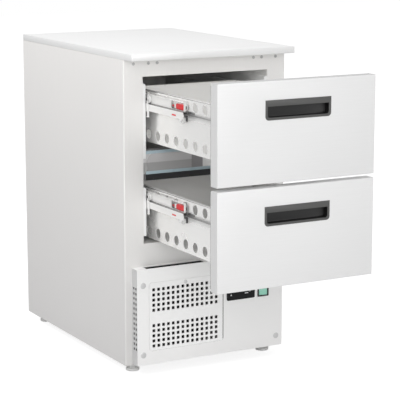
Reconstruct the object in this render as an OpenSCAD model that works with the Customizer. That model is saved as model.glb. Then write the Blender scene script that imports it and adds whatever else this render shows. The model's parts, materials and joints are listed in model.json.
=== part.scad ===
// Undercounter refrigerator with two telescopic drawers over a front-breathing machine compartment.
// It is drawn with both drawers run out to their stops. X is to the right, Y to the back, Z up, with
// the floor at Z = 0 and the origin under the middle of the whole outline.

/* [Cabinet] */
// Width of the cabinet and the worktop
cabinet_w = 480; // [470:1:520]
// Depth of the cabinet, from the face frame to the back panel
cabinet_d = 650; // [645:1:700]
// Thickness of the worktop
worktop_t = 18; // [15:1:30]
// Reach of the worktop in front of the face frame
worktop_reach = 50; // [50:1:60]
// Edge radius of the worktop
worktop_r = 1.5; // [1:0.1:3]
// Thickness of the outer sheet
skin_t = 1; // [0.8:0.1:1.5]
// Bend radius of the face frame at the cabinet's front corners
corner_r = 3; // [2:0.1:5]
// Insulated side wall, outer face to inner face
wall = 55; // [55:0.5:58]
// Insulated ceiling, from the worktop's underside to the inner face
ceiling_t = 45; // [44:0.5:50]
// Insulated back wall
back_t = 50; // [45:0.5:52]
// Thickness of the inner liner
liner_t = 1; // [0.8:0.1:1.2]
// Depth of the face frame's return into the opening
jamb_d = 25; // [12:1:30]
// Height of the machine compartment
machine_h = 262; // [261:1:270]
// Height of the sill between the machine compartment and the drawers
sill_h = 60; // [55:1:64]

/* [Feet] */
// Height of the feet under the cabinet
foot_h = 25; // [20:1:45]
// Diameter of a foot's pad
foot_d = 36; // [28:1:42]
// Thickness of a foot's pad
foot_pad_t = 8; // [6:0.5:12]
// Radius of a foot's stem
foot_stem_r = 5; // [4:0.5:6]
// Distance of the feet from the cabinet's sides and front
foot_inset = 40; // [36:1:60]

/* [Drawer fronts] */
// Distance from the cabinet's side to the side of the fronts and the machine cover
front_side_gap = 20; // [18:0.5:25]
// Height of one drawer front
front_h = 243; // [230:0.5:270]
// Gap between the two drawer fronts
front_gap = 10; // [6:0.5:12]
// Gap between the upper front and the worktop
front_top_gap = 17; // [15:0.5:20]
// How far the lower front reaches down over the sill
front_seat = 33; // [30:0.5:36]
// Thickness of a drawer front
front_t = 31; // [28:0.5:40]
// Gap that the gasket fills when a drawer is shut
shut_gap = 18; // [17:0.5:22]
// Travel of a drawer
travel = 400; // [350:1:405]
// Width of the gasket
gasket_w = 14; // [12:0.5:16]
// Distance of the gasket from the edge of the front
gasket_inset = 7; // [5:0.5:9]

/* [Handles] */
// Width of the recessed pull
pull_w = 183; // [140:1:240]
// Height of the recessed pull
pull_h = 44.5; // [40:0.5:60]
// Distance from the top of the front to the top of the pull
pull_drop = 45; // [30:1:70]
// How far the pull's bezel stands proud of the front
pull_proud = 1; // [0.5:0.1:3]
// Depth of the pull's cup behind the face
pull_depth = 22; // [18:0.5:24]
// Height of the grip lip along the top of the pull
pull_lip = 11.5; // [9:0.5:14]
// Width of the bezel at the sides and the bottom
pull_edge = 6; // [4:0.5:8]
// Radius of the pull's lower corners
pull_r = 9; // [6:0.5:12]

/* [Drawer boxes] */
// Length of a drawer behind its front
drawer_l = 530; // [500:1:532]
// Height of the drawer's lower edge over the lower edge of its front
drawer_lift = 44; // [40:1:48]
// Distance from the top of the front down to the top of the drawer's sides
drawer_drop = 65; // [60:1:70]
// Thickness of the drawer's sheet
drawer_t = 1.2; // [1:0.1:1.5]
// Width of the hem along the top of the sides
hem_w = 9; // [7:0.5:12]
// Diameter of the air holes in the sides
air_d = 25; // [18:0.5:27]
// Pitch of the air holes
air_pitch = 49.6; // [45:0.1:60]
// Height of the lower row of air holes over the drawer's lower edge
air_low = 20.5; // [19:0.5:30]
// Distance of the upper row of air holes from the drawer's upper edge
air_high = 18; // [16:0.5:20]

/* [Slides] */
// Room for a slide between the drawer's side and the frame that carries it
slide_room = 23.8; // [23.5:0.1:26]
// Height of the slides' running line over the lower edge of the front
run_lift = 140.5; // [138:0.5:144]
// Thickness of the slides' sheet
rail_t = 1.2; // [1:0.1:1.3]
// Clearance between a roller and what it runs in
run_gap = 0.3; // [0.2:0.05:0.5]
// Radius of the roller pins
pin_r = 3; // [2.5:0.1:3.5]
// Radial running clearance of the rollers on their pins
pin_gap = 0.08; // [0.04:0.01:0.1]
// Diameter of the rollers at the front of the fixed rails
fixed_roller_d = 22.1; // [21:0.1:23]
// Diameter of the rollers at the back of the middle rails
rear_roller_d = 18; // [16:0.1:18.4]
// Diameter of the rollers at the front of the middle rails
front_roller_d = 24; // [22:0.1:26]
// Diameter of the rollers at the back of the drawer rails
drawer_roller_d = 16; // [15:0.1:16.2]
// Length of the middle rails
middle_l = 500; // [450:1:510]
// Length of the fixed rails
fixed_l = 514; // [500:1:520]
// Reach of the middle rails in front of the face frame with the drawers out
middle_out = 194; // [190:1:196]

/* [Machine cover] */
// How far the cover stands in front of the face frame
cover_out = 29; // [26:0.5:34]
// Gap under the cover
cover_low = 4; // [3:0.5:8]
// Height of the cover
cover_h = 257; // [254:0.5:257]
// Side of a square air hole
grille_hole = 8.4; // [6:0.1:9]
// Pitch of the square holes across the grille
grille_pitch_x = 14.35; // [13.5:0.05:15]
// Pitch of the square holes up the grille
grille_pitch_z = 13.7; // [13:0.05:14.5]
// Distance from the cover's left edge to the access panel
panel_margin = 35; // [32:0.5:40]
// Height of the access panel
panel_h = 182; // [170:0.5:186]
// Gap round the access panel
panel_gap = 0.6; // [0.4:0.1:1]
// Wider gap at the panel's right edge, where it is gripped
panel_grip = 1.4; // [0.6:0.1:2]
// Distance between the access panel and the controller
control_gap = 11.5; // [9:0.5:16]
// Width of the controller
control_w = 86; // [70:1:90]
// Height of the controller
control_h = 38; // [28:1:42]
// Width of the switch
switch_w = 34; // [28:1:36]
// Height of the switch
switch_h = 25; // [21:1:28]

/* [Hidden] */
$fn = 48;

UPPER = 1;
LOWER = 0;
eps = 0.05;            // overlap that joins two bodies of one piece
half_w = cabinet_w / 2;
// the cabinet's height is that of the machine compartment, the sill and the two fronts
cabinet_h = machine_h + sill_h - front_seat + 2 * front_h + front_gap + front_top_gap;
cab_low = foot_h;
cab_top = foot_h + cabinet_h;
// the drawers' opening and the cold compartment behind it
bay_half = half_w - wall;
bay_low = cab_low + machine_h + sill_h;
bay_top = cab_top - ceiling_t;
bay_back = cabinet_d - back_t;
machine_top = cab_low + machine_h;
// drawer fronts, drawn run out, and the middle of the gap between them
front_w = cabinet_w - 2 * front_side_gap;
front_face = -(front_t + shut_gap + travel);
front_back = front_face + front_t;
front_mid = cab_top - front_top_gap - front_h - front_gap / 2;
// middle of the whole outline, from the bezels of the pulls to the back panel
mid_y = (front_face - pull_proud + cabinet_d) / 2;
// frame of sheet that carries the slides, against the liner
carrier_t = 1.2;
carrier_flange = 8.7;
carrier_l = 520;
carrier_low = bay_low + 20;
carrier_high = bay_top - 18;
carrier_gap_low = front_mid - 67;
carrier_gap_high = front_mid + 8;
carrier_corner_r = 6;
carrier_slot = 50;
carrier_slot_pitch = 120;
carrier_slots = 3;
// drawer boxes, between the slides
drawer_half = bay_half - carrier_t - slide_room;
drawer_back = front_back + drawer_l;
drawer_h = front_h - drawer_lift - drawer_drop;
// slide section, with u outwards from the drawer's side and w up from the running line
u_mouth = 2.5;
u_web = 5.4;
u_out = 13;
u_top_flange = 12.5;
w_floor = -13;
w_step = 6;
w_roof = w_step + 2 * run_gap + fixed_roller_d;
w_axis = w_step + run_gap + fixed_roller_d / 2;
w_front_axis = -run_gap - front_roller_d / 2;
w_drawer_axis = (w_floor + w_step) / 2;
u_fixed_web = slide_room - 1.5;
u_arm = u_out + 0.6;
arm_t = 1.5;
u_fixed_lip = u_arm + arm_t - 0.1;
fixed_inner = rear_roller_d / 2 + run_gap;
fixed_front = 6;
arm_back = 34;
arm_front = -13;
flange_reach = 10;
fixed_roller_y = -4.9;
middle_back = middle_l - middle_out;
rear_roller_y = middle_back - 14;
front_roller_y = 12 - middle_out;
drawer_roller_y = drawer_back - 12;
// catch: an eye on a pin behind the web, and a body that fills the web's window
catch_y = 5 - middle_out;
catch_pin_r = 2;
catch_gap = 0.06;
catch_eye_r = 4.6;
catch_body = [4.2, 42];
catch_ring = [42, 52];
catch_tip = [52, 64];
catch_window = [3, 69];
w_catch = w_step + 9;
w_window_top = w_roof - 1.7;
u_catch_in = 1.6;
u_catch_eye = u_web - 0.2;
u_catch_out = u_web + rail_t + 0.1;
// cross rail between the drawers
cross_low = front_mid - 33;
cross_high = front_mid + 28;
cross_d = 38;
cross_lip_h = 17;
strip_h = 8;
strip_d = 2.5;
// machine cover
cover_z = cab_low + cover_low;
cover_top = cover_z + cover_h;
screw_x = front_w / 2 - 18;
screw_low = cover_z + 27.5;
screw_high = cover_top - 43;
switch_x = front_w / 2 - 60;
control_x = switch_x - (switch_w + control_w) / 2 - 9.5;
control_z = cover_top - 95;
switch_z = control_z - 6.5;
panel_left = panel_margin - front_w / 2;
panel_right = control_x - control_w / 2 - control_gap;
panel_w = panel_right - panel_left;
panel_x = (panel_left + panel_right) / 2;
panel_z = cover_top - 38 - panel_h / 2;
panel_r = 8;
grille_side = 10;
grille_band = 20;
grille_cols = 1 + floor((panel_w - 2 * grille_side - grille_hole) / grille_pitch_x);
grille_rows = 1 + floor((panel_h / 2 - grille_band - grille_hole) / grille_pitch_z);
grille_x = panel_x - 3.9;
grille_z = panel_z - 3.5;
grille_group = panel_h / 2 + 5.2;
knob_x = grille_x;
knob_z = panel_z + panel_h / 2 - 7.5;
switch_frame = 2.2;
switch_wall = 1.5;
rocker_y = 4 - cover_out;
rocker_tilt = 8;
rocker_pin_r = 1.5;
rocker_pin_gap = 0.06;
rocker_side_gap = 1.5;
rocker_end_gap = 0.3;
panel_proud = 0.8;
panel_flange = 6;
screw_r = 2.4;
screw_gap = 0.1;
screw_cap_r = 8;
screw_reach = 8;

// machine compartment and cold air unit
tray_t = 1.5;
tray_top = cab_low + skin_t + tray_t;
boss_r = 11;
pot_x = half_w - 145;
pot_y = 440;
pot_r = 78;
pot_h = 150;
pot_base = 20;
pot_crown = 45;
pot_leg = 14;
suction_stub_y = pot_y + pot_r + 14;
discharge_stub_z = tray_top + pot_leg + pot_h + 15.5;
pipe_r = 4;
pipe_gap = 0.5;
pipe_x = pot_x + 25;
pipe_y = cabinet_d - back_t / 2;
pipe_low = cab_low + 120;
pipe_high = bay_low + 60;
line_room = 24;
gland_x = 90 - half_w;
gland_y = cabinet_d - 60;
gland_r = 9;
coil_x = [35 - half_w, 245 - half_w];
coil_y = [24, 62];
coil_z = [cab_low + 34, machine_top - 46];
coil_leg_w = 12;
coil_leg_x = [foot_inset + boss_r + 14 - half_w, coil_x[1] - 42];
coil_tubes = 6;
coil_fins = 20;
coil_tube_out = 5;
end_plate_t = 2;
vent_pitch = (cabinet_w - 60) / 3;
fan_x = (coil_x[0] + coil_x[1]) / 2;
fan_z = (coil_z[0] + coil_z[1]) / 2;
fan_y = coil_y[1] + 6;
fan_r = 78;
fan_rake = 28;
fan_shaft_r = 4;
fan_shaft_gap = 0.06;
fan_motor_back = 24;
fan_ring_in = 6;
fan_hole = 4;
air_half = bay_half - 27;
air_face_y = bay_back - 70;
air_coil_half = air_half - 33;
air_coil_y = [bay_back - 50, bay_back];
air_coil_low = 45;
air_coil_high = 190;
air_coil_z = [bay_low + air_coil_low, bay_low + air_coil_high];
air_coil_fins = 22;
air_coil_tubes = 4;
air_floor = 25;
air_roof = 20;
air_fan_z = bay_top - 105;
air_fan_r = 62;

function front_low(level) =
    cab_top - front_top_gap - front_h - (1 - level) * (front_h + front_gap);
function run_z(level) = front_low(level) + run_lift;
function box_low(level) = front_low(level) + drawer_lift;

// ---- shared shapes ----

module in_frame() {
    translate([0, -mid_y, 0]) children();
}

module box(x, y, z) {
    translate([x[0], y[0], z[0]]) cube([x[1] - x[0], y[1] - y[0], z[1] - z[0]]);
}

// a profile drawn in (x, z), run from y[0] to y[1]
module along_y(y) {
    translate([0, y[1], 0]) rotate([90, 0, 0]) linear_extrude(y[1] - y[0]) children();
}

// a profile drawn in (y, z), run from x[0] to x[1]
module along_x(x) {
    translate([x[0], 0, 0]) rotate([90, 0, 90]) linear_extrude(x[1] - x[0]) children();
}

module rect(a, b) {
    translate([a[0], b[0]]) square([a[1] - a[0], b[1] - b[0]]);
}

module round_rect(a, b, r) {
    rect([a[0] + r, a[1] - r], b);
    rect(a, [b[0] + r, b[1] - r]);
    for (x = [a[0] + r, a[1] - r], y = [b[0] + r, b[1] - r]) translate([x, y]) circle(r);
}

// a shaft or disc along X
module disc_x(x, y, z, r) {
    translate([x[0], y, z]) rotate([0, 90, 0]) cylinder(h = x[1] - x[0], r = r);
}

// a shaft or disc along Y
module disc_y(x, y, z, r) {
    translate([x, y[1], z]) rotate([90, 0, 0]) cylinder(h = y[1] - y[0], r = r);
}

module both_sides() {
    children();
    mirror([1, 0, 0]) children();
}

// slide section to the cabinet's frame: right-hand side, u from the drawer's side, w from its line
module slide_space(level) {
    translate([drawer_half, 0, run_z(level)]) children();
}

// ---- cabinet ----

module worktop() {
    color("whitesmoke") in_frame() along_x([-half_w, half_w])
        round_rect([-worktop_reach, cabinet_d], [cab_top, cab_top + worktop_t], worktop_r);
}

module side_panel() {
    box([half_w - skin_t, half_w], [corner_r, cabinet_d], [cab_low, cab_top]);
    box([half_w - 16, half_w - skin_t + eps], [corner_r, cabinet_d], [cab_low, cab_low + skin_t]);
}

module left_side_panel() {
    color("gainsboro") in_frame() mirror([1, 0, 0]) side_panel();
}

module right_side_panel() {
    color("gainsboro") in_frame() side_panel();
}

module back_vents() {
    reach = vent_pitch / 2 - 15;
    for (row = [0:7], x = [-vent_pitch, 0, vent_pitch])
        box([x - reach, x + reach], [cabinet_d - 2 * skin_t, cabinet_d + 1],
            [cab_low + 70 + row * 18, cab_low + 76 + row * 18]);
}

module back_panel() {
    inner = half_w - skin_t;
    color("silver") in_frame() difference() {
        union() {
            box([-inner, inner], [cabinet_d - skin_t, cabinet_d], [cab_low + skin_t, cab_top]);
            box([-inner, inner], [skin_t, cabinet_d - skin_t + eps],
                [machine_top - skin_t, machine_top]);
        }
        back_vents();
        pipe_bore();
    }
}

foot_places = [for (y = [foot_inset, cabinet_d - foot_inset], x = [-1, 1])
    [x * (half_w - foot_inset), y]];

module base_tray() {
    inner = half_w - skin_t;
    z = cab_low + skin_t;
    color("silver") in_frame() difference() {
        union() {
            box([-inner, inner], [corner_r + 1, cabinet_d - skin_t], [z, tray_top]);
            box([-inner, inner], [corner_r + 1, corner_r + 1 + tray_t], [z, z + 12]);
            for (p = foot_places)
                translate([p[0], p[1], tray_top - eps]) cylinder(h = 13, r = boss_r);
        }
        for (p = foot_places)
            translate([p[0], p[1], z - 1]) cylinder(h = 20, r = foot_stem_r + 0.06);
        translate([gland_x, gland_y, z - 1]) cylinder(h = 20, r = gland_r + 0.1);
    }
}

module face_plan() {
    difference() {
        round_rect([-half_w, half_w], [0, 4 * corner_r], corner_r);
        round_rect([skin_t - half_w, half_w - skin_t], [skin_t, 4 * corner_r + 1],
            corner_r - skin_t);
        rect([-cabinet_w, cabinet_w], [corner_r, 5 * corner_r]);
    }
}

plug_x = [half_w - 29, half_w - 72, half_w - 97];
plug_z = cab_top - 11;
plug_r = 2.8;

module front_frame() {
    leg = half_w - screw_x + 8;
    color("gainsboro") in_frame() difference() {
        union() {
            translate([0, 0, cab_low]) linear_extrude(cabinet_h) face_plan();
            box([-bay_half - liner_t, bay_half + liner_t], [skin_t - eps, jamb_d],
                [bay_low - liner_t, bay_top + liner_t]);
        }
        box([-bay_half, bay_half], [-1, jamb_d + 1], [bay_low, bay_top]);
        box([leg - half_w, half_w - leg], [-1, 13], [cab_low + 12, machine_top - 12]);
        for (x = plug_x, s = [-1, 1]) disc_y(s * x, [-1, 3], plug_z, plug_r);
        for (x = [-screw_x, screw_x], z = [screw_low, screw_high])
            disc_y(x, [-1, 3], z, screw_r + screw_gap);
    }
}

module hole_plugs() {
    color("lightgray") in_frame() for (x = plug_x, s = [-1, 1]) {
        disc_y(s * x, [-0.7, 0], plug_z, plug_r + 1.4);
        disc_y(s * x, [-eps, skin_t], plug_z, plug_r);
    }
}

module inner_liner() {
    color("silver") in_frame() difference() {
        box([-bay_half - liner_t, bay_half + liner_t], [jamb_d, bay_back + liner_t],
            [bay_low - liner_t, bay_top + liner_t]);
        box([-bay_half, bay_half], [jamb_d - 1, bay_back], [bay_low, bay_top]);
        pipe_bore();
    }
}

module insulation() {
    inner = half_w - skin_t;
    color("khaki") in_frame() difference() {
        box([-inner, inner], [corner_r, cabinet_d - skin_t], [machine_top, cab_top]);
        box([-bay_half - liner_t, bay_half + liner_t], [0, bay_back + liner_t],
            [bay_low - liner_t, bay_top + liner_t]);
        pipe_bore();
    }
}

// closed box section with a lip below, rebated along its front edges for the strips
module mid_rail() {
    flange_in = bay_half - carrier_flange - 0.5;
    carrier_in = bay_half - carrier_t;
    color("silver") in_frame() {
        along_x([-flange_in, flange_in]) difference() {
            rect([0, cross_d], [cross_low, cross_high]);
            rect([-1, strip_d], [cross_low - 1, cross_low + strip_h]);
            rect([-1, strip_d], [cross_high - strip_h, cross_high + 1]);
        }
        along_x([-carrier_in, carrier_in]) rect([4, cross_d], [cross_low, cross_high]);
        along_x([-flange_in, flange_in]) rect([5, cross_d], [cross_low - cross_lip_h, cross_low + eps]);
    }
}

module mid_rail_strips() {
    flange_in = bay_half - carrier_flange - 0.5;
    color("lightsteelblue") in_frame() for (z = [cross_low, cross_high - strip_h])
        box([-flange_in, flange_in], [0, strip_d], [z, z + strip_h]);
}

module carrier_flange_face(z) {
    inner = bay_half - carrier_flange;
    along_y([1, 1 + carrier_t]) intersection() {
        rect([inner, bay_half], z);
        union() {
            rect([inner, bay_half], [z[0], z[1] - carrier_corner_r]);
            rect([inner + carrier_corner_r, bay_half], z);
            translate([inner + carrier_corner_r, z[1] - carrier_corner_r]) circle(carrier_corner_r);
        }
    }
}

module slide_frames() {
    color("gainsboro") in_frame() both_sides() {
        difference() {
            box([bay_half - carrier_t, bay_half], [1, carrier_l], [carrier_low, carrier_high]);
            box([bay_half - 2, bay_half + 1], [carrier_l - 60, carrier_l + 1],
                [carrier_gap_low, carrier_gap_high]);
            for (i = [1:carrier_slots])
                box([bay_half - 2, bay_half + 1],
                    [i * carrier_slot_pitch, i * carrier_slot_pitch + carrier_slot],
                    [carrier_gap_low + 20, carrier_gap_high]);
        }
        carrier_flange_face([carrier_gap_high, carrier_high]);
        carrier_flange_face([carrier_low, carrier_gap_low]);
    }
}

// ---- slides ----

module fixed_section() {
    w = [w_axis - fixed_inner, w_axis + fixed_inner];
    rect([u_fixed_web, slide_room], [w[0] - rail_t, w[1] + rail_t]);
    rect([u_fixed_lip, slide_room], [w[0] - rail_t, w[0]]);
    rect([u_fixed_lip, slide_room], [w[1], w[1] + rail_t]);
}

// the arm closes the front of the fixed rail and holds its roller on a finger
module fixed_arm() {
    along_x([u_arm, u_arm + arm_t]) difference() {
        union() {
            rect([arm_front, arm_back], [w_floor - 2, w_step]);
            rect([fixed_front, arm_back], [w_floor - 2, w_axis + fixed_inner + rail_t]);
            rect([fixed_roller_y - 2.6, fixed_roller_y + 2.6], [0, w_axis]);
            translate([fixed_roller_y, w_axis]) circle(pin_r + 1.5);
            rect([arm_front, arm_front + 9], [w_floor - 14, w_floor]);
        }
        translate([14, w_drawer_axis]) circle(4);
    }
    along_x([u_arm, u_arm + 3.4]) rect([arm_front, arm_front + 9], [w_floor - 15.5, w_floor - 14 + eps]);
}

module fixed_rail() {
    along_y([fixed_front, fixed_front + fixed_l]) fixed_section();
    fixed_arm();
    disc_x([u_web + rail_t + run_gap, u_arm + eps], fixed_roller_y, w_axis, pin_r);
    disc_x([u_arm + arm_t - eps, u_arm + arm_t + 0.8], fixed_roller_y, w_axis, pin_r + 0.8);
}

module fixed_rails() {
    color("silver") in_frame() both_sides() for (level = [LOWER, UPPER])
        slide_space(level) fixed_rail();
}

module middle_section() {
    rect([u_mouth, u_out], [w_floor, w_floor + rail_t]);
    rect([u_out - rail_t, u_out], [w_floor, w_step]);
    rect([u_mouth, u_out], [w_step - rail_t, w_step]);
    rect([u_web, u_web + rail_t], [w_step - rail_t, w_roof + rail_t]);
    rect([u_web, u_top_flange], [w_roof, w_roof + rail_t]);
}

module middle_rail() {
    difference() {
        along_y([-middle_out, middle_back]) middle_section();
        // room for the front roller, and the window that the catch fills
        box([0, u_out - rail_t], [-middle_out - 1, front_roller_y + front_roller_d / 2 + 1],
            [w_floor - 1, w_floor + rail_t + 1]);
        along_x([u_web - 1, u_web + rail_t + 1])
            round_rect([for (y = catch_window) catch_y + y], [w_step + 1, w_window_top], 3);
    }
    // lug, front hook and pins
    along_x([u_out - rail_t, u_out]) {
        rect([front_roller_y - 6, front_roller_y + 6], [w_front_axis, w_step]);
        translate([front_roller_y, w_front_axis]) circle(6);
        rect([-middle_out - 18, -middle_out + 1], [-6, -1]);
        rect([-middle_out - 18, -middle_out - 15], [-15, -1]);
    }
    disc_x([u_mouth + 1.3, u_out - rail_t + eps], front_roller_y, w_front_axis, pin_r);
    disc_x([u_mouth + 0.3, u_mouth + 1.3 + eps], front_roller_y, w_front_axis, pin_r + 1.5);
    disc_x([u_web + rail_t - eps, u_fixed_web - 0.4], rear_roller_y, w_axis, pin_r);
    disc_x([u_web + rail_t - eps, u_fixed_lip], rear_roller_y, w_axis, pin_r + 1.5);
    disc_x([u_catch_in - 0.2, u_web + eps], catch_y, w_catch, catch_pin_r);
}

module middle_rails(level) {
    color("silver") in_frame() both_sides() slide_space(level) middle_rail();
}

// a moulded roller: rim, waist and hub, bored for its pin
module roller(u, y, w, d, bore_r) {
    r = d / 2;
    difference() {
        disc_x(u, y, w, r);
        disc_x([u[0] - 1, u[1] + 1], y, w, bore_r);
        difference() {
            disc_x([u[1] - 1, u[1] + 1], y, w, r - 1.8);
            disc_x([u[1] - 2, u[1] + 2], y, w, bore_r + 1.6);
        }
    }
}

module fixed_rollers(level) {
    color("white") in_frame() both_sides() slide_space(level)
        roller([u_web + rail_t + run_gap, u_arm - 1.2], fixed_roller_y, w_axis, fixed_roller_d,
            pin_r + pin_gap);
}

module middle_rear_rollers(level) {
    color("white") in_frame() both_sides() slide_space(level)
        roller([u_fixed_lip + 0.3, u_fixed_web - 0.8], rear_roller_y, w_axis, rear_roller_d,
            pin_r + pin_gap);
}

module middle_front_rollers(level) {
    color("white") in_frame() both_sides() slide_space(level)
        roller([u_mouth + 1.5, u_out - rail_t - 0.8], front_roller_y, w_front_axis, front_roller_d,
            pin_r + pin_gap);
}

module drawer_rollers(level) {
    color("white") in_frame() both_sides() slide_space(level)
        roller([rail_t + 2, flange_reach + 0.2], drawer_roller_y, w_drawer_axis, drawer_roller_d,
            pin_r + pin_gap);
}

// side view of the release catch from its pin: body, ring and tapering finger tip
module catch_body_outline() {
    low = w_step + 2 - w_catch;
    round_rect(catch_body, [low, low + 14], 4);
    rect([catch_body[1] - 5, catch_ring[0] + 1], [low + 1.6, low + 12]);
    round_rect(catch_ring, [low + 1.2, low + 12.6], 1.5);
    polygon([[catch_tip[0] - 1, low + 2.6], [catch_tip[1], low + 5.4], [catch_tip[1], low + 8.2],
        [catch_tip[0] - 1, low + 11]]);
    translate([catch_tip[1], low + 6.8]) circle(1.4);
}

module catch(level) {
    slide_space(level) translate([0, catch_y, w_catch]) difference() {
        union() {
            along_x([u_catch_in, u_catch_out]) catch_body_outline();
            disc_x([u_catch_in, u_catch_eye], 0, 0, catch_eye_r);
            box([u_catch_in, u_catch_eye], [0, catch_body[0] + 5], [-catch_eye_r, catch_eye_r]);
        }
        disc_x([u_catch_in - 1, u_catch_out + 1], 0, 0, catch_pin_r + catch_gap);
    }
}

module left_catch(level) {
    color("red") in_frame() mirror([1, 0, 0]) catch(level);
}

module right_catch(level) {
    color("red") in_frame() catch(level);
}

// ---- drawers ----

module front_outline(inset, y) {
    along_y(y) rect([inset - front_w / 2, front_w / 2 - inset], [inset, front_h - inset]);
}

function pull_z() = [front_h - pull_drop - pull_h, front_h - pull_drop];

module pull_outline(grow) {
    z = pull_z();
    a = [-pull_w / 2 - grow, pull_w / 2 + grow];
    r = pull_r + grow;
    rect(a, [z[0] + r, z[1] + grow]);
    rect([a[0] + r, a[1] - r], [z[0] - grow, z[1] + grow]);
    for (x = [a[0] + r, a[1] - r]) translate([x, z[0] - grow + r]) circle(r);
}

module pull_cup_outline(grow) {
    z = pull_z();
    a = [1.5 - pull_w / 2 - grow, pull_w / 2 - 1.5 + grow];
    r = pull_r - 1.5 + grow;
    rect(a, [z[0] + 1.5 - grow + r, z[1] - 1.5 + grow]);
    rect([a[0] + r, a[1] - r], [z[0] + 1.5 - grow, z[1] - 1.5 + grow]);
    for (x = [a[0] + r, a[1] - r]) translate([x, z[0] + 1.5 - grow + r]) circle(r);
}

module front_skin(level) {
    color("whitesmoke") in_frame() translate([0, 0, front_low(level)]) difference() {
        front_outline(0, [front_face, front_back - skin_t]);
        front_outline(skin_t, [front_face + skin_t, front_back]);
        along_y([front_face - 1, front_face + 5]) pull_cup_outline(0.2);
    }
}

// foam core with the inner sheet that closes the front
module front_core(level) {
    color("gainsboro") in_frame() translate([0, 0, front_low(level)]) difference() {
        union() {
            front_outline(skin_t, [front_face + skin_t, front_back - skin_t + eps]);
            front_outline(0, [front_back - skin_t, front_back]);
        }
        along_y([front_face - 1, front_face + pull_depth + 0.2]) pull_cup_outline(0.2);
    }
}

module gasket_ring(inset, width, y) {
    difference() {
        front_outline(inset, y);
        front_outline(inset + width, [y[0] - 1, y[1] + 1]);
    }
}

// base, bellows and magnet bar
module gasket(level) {
    end = front_back + shut_gap - 0.6;
    color("dimgray") in_frame() translate([0, 0, front_low(level)]) {
        gasket_ring(gasket_inset, gasket_w, [front_back, front_back + 4]);
        gasket_ring(gasket_inset + 3, gasket_w - 6, [front_back + 4 - eps, end - 6 + eps]);
        gasket_ring(gasket_inset + 1, gasket_w - 2, [end - 6, end]);
    }
}

// mouth of the pull: square at the top, round at its two lower corners
module pull_mouth_outline() {
    z = [pull_z()[0] + pull_edge, pull_z()[1] - pull_lip];
    x = pull_w / 2 - pull_edge;
    r = pull_r - 3;
    rect([-x, x], [z[0] + r, z[1]]);
    rect([r - x, x - r], z);
    for (c = [r - x, x - r]) translate([c, z[0] + r]) circle(r);
}

// recessed pull: bezel, cup, and a lip that the fingers hook behind
module handle(level) {
    color("dimgray") in_frame() translate([0, 0, front_low(level)]) difference() {
        union() {
            along_y([front_face - pull_proud, front_face]) pull_outline(0);
            along_y([front_face - eps, front_face + pull_depth]) pull_cup_outline(0);
        }
        along_y([front_face + 2, front_face + pull_depth - 1.5]) pull_cup_outline(-1.5);
        along_y([front_face - pull_proud - 1, front_face + 3]) pull_mouth_outline();
    }
}

module drawer_sides(level) {
    low = box_low(level);
    high = low + drawer_h;
    first = drawer_back - 96.6;
    count = floor((first - front_back - air_d) / air_pitch);
    color("gainsboro") in_frame() both_sides() difference() {
        along_y([front_back, drawer_back]) {
            rect([drawer_half - drawer_t, drawer_half], [low, high]);
            rect([drawer_half - hem_w, drawer_half], [high - drawer_t, high]);
            rect([drawer_half - hem_w, drawer_half - hem_w + drawer_t], [high - 6, high]);
            rect([drawer_half - hem_w - 3, drawer_half], [low, low + drawer_t]);
        }
        for (i = [-1:count], z = [air_low, drawer_h - air_high])
            disc_x([drawer_half - 3, drawer_half + 1], first - i * air_pitch, low + z, air_d / 2);
    }
}

// base with its back turned up
module drawer_tray(level) {
    low = box_low(level) + drawer_t;
    inner = drawer_half - drawer_t;
    color("silver") in_frame() {
        box([-inner, inner], [front_back, drawer_back], [low, low + drawer_t]);
        box([-inner, inner], [drawer_back - drawer_t, drawer_back],
            [low, box_low(level) + drawer_h - 7]);
        box([hem_w + 1 - drawer_half, drawer_half - hem_w - 1], [drawer_back - drawer_t, drawer_back],
            [low, box_low(level) + drawer_h]);
        box([hem_w + 1 - drawer_half, drawer_half - hem_w - 1], [drawer_back - hem_w, drawer_back],
            [box_low(level) + drawer_h - drawer_t, box_low(level) + drawer_h]);
    }
}

module drawer_rail() {
    along_y([front_back, drawer_back]) rect([0, rail_t], [w_floor - 1, rail_t]);
    along_y([front_back, drawer_back - 26]) rect([0, flange_reach], [0, rail_t]);
    disc_x([rail_t - eps, flange_reach + 0.4], drawer_roller_y, w_drawer_axis, pin_r);
    disc_x([flange_reach + 0.35, flange_reach + 1.2], drawer_roller_y, w_drawer_axis, pin_r + 1.5);
}

module drawer_rails(level) {
    color("silver") in_frame() both_sides() slide_space(level) drawer_rail();
}

// ---- machine cover ----

module cover_side_holes() {
    for (row = [0:12], y = [-0.36, -0.77])
        box([-front_w / 2 - 1, 3 - front_w / 2],
            [y * cover_out - 3.4, y * cover_out + 3.4],
            [cab_low + 48 + row * 13.5 - 3.4, cab_low + 48 + row * 13.5 + 3.4]);
}

module panel_outline(grow) {
    round_rect([panel_x - panel_w / 2 - grow, panel_x + panel_w / 2 + grow],
        [panel_z - panel_h / 2 - grow, panel_z + panel_h / 2 + grow], panel_r + grow);
}

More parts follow.
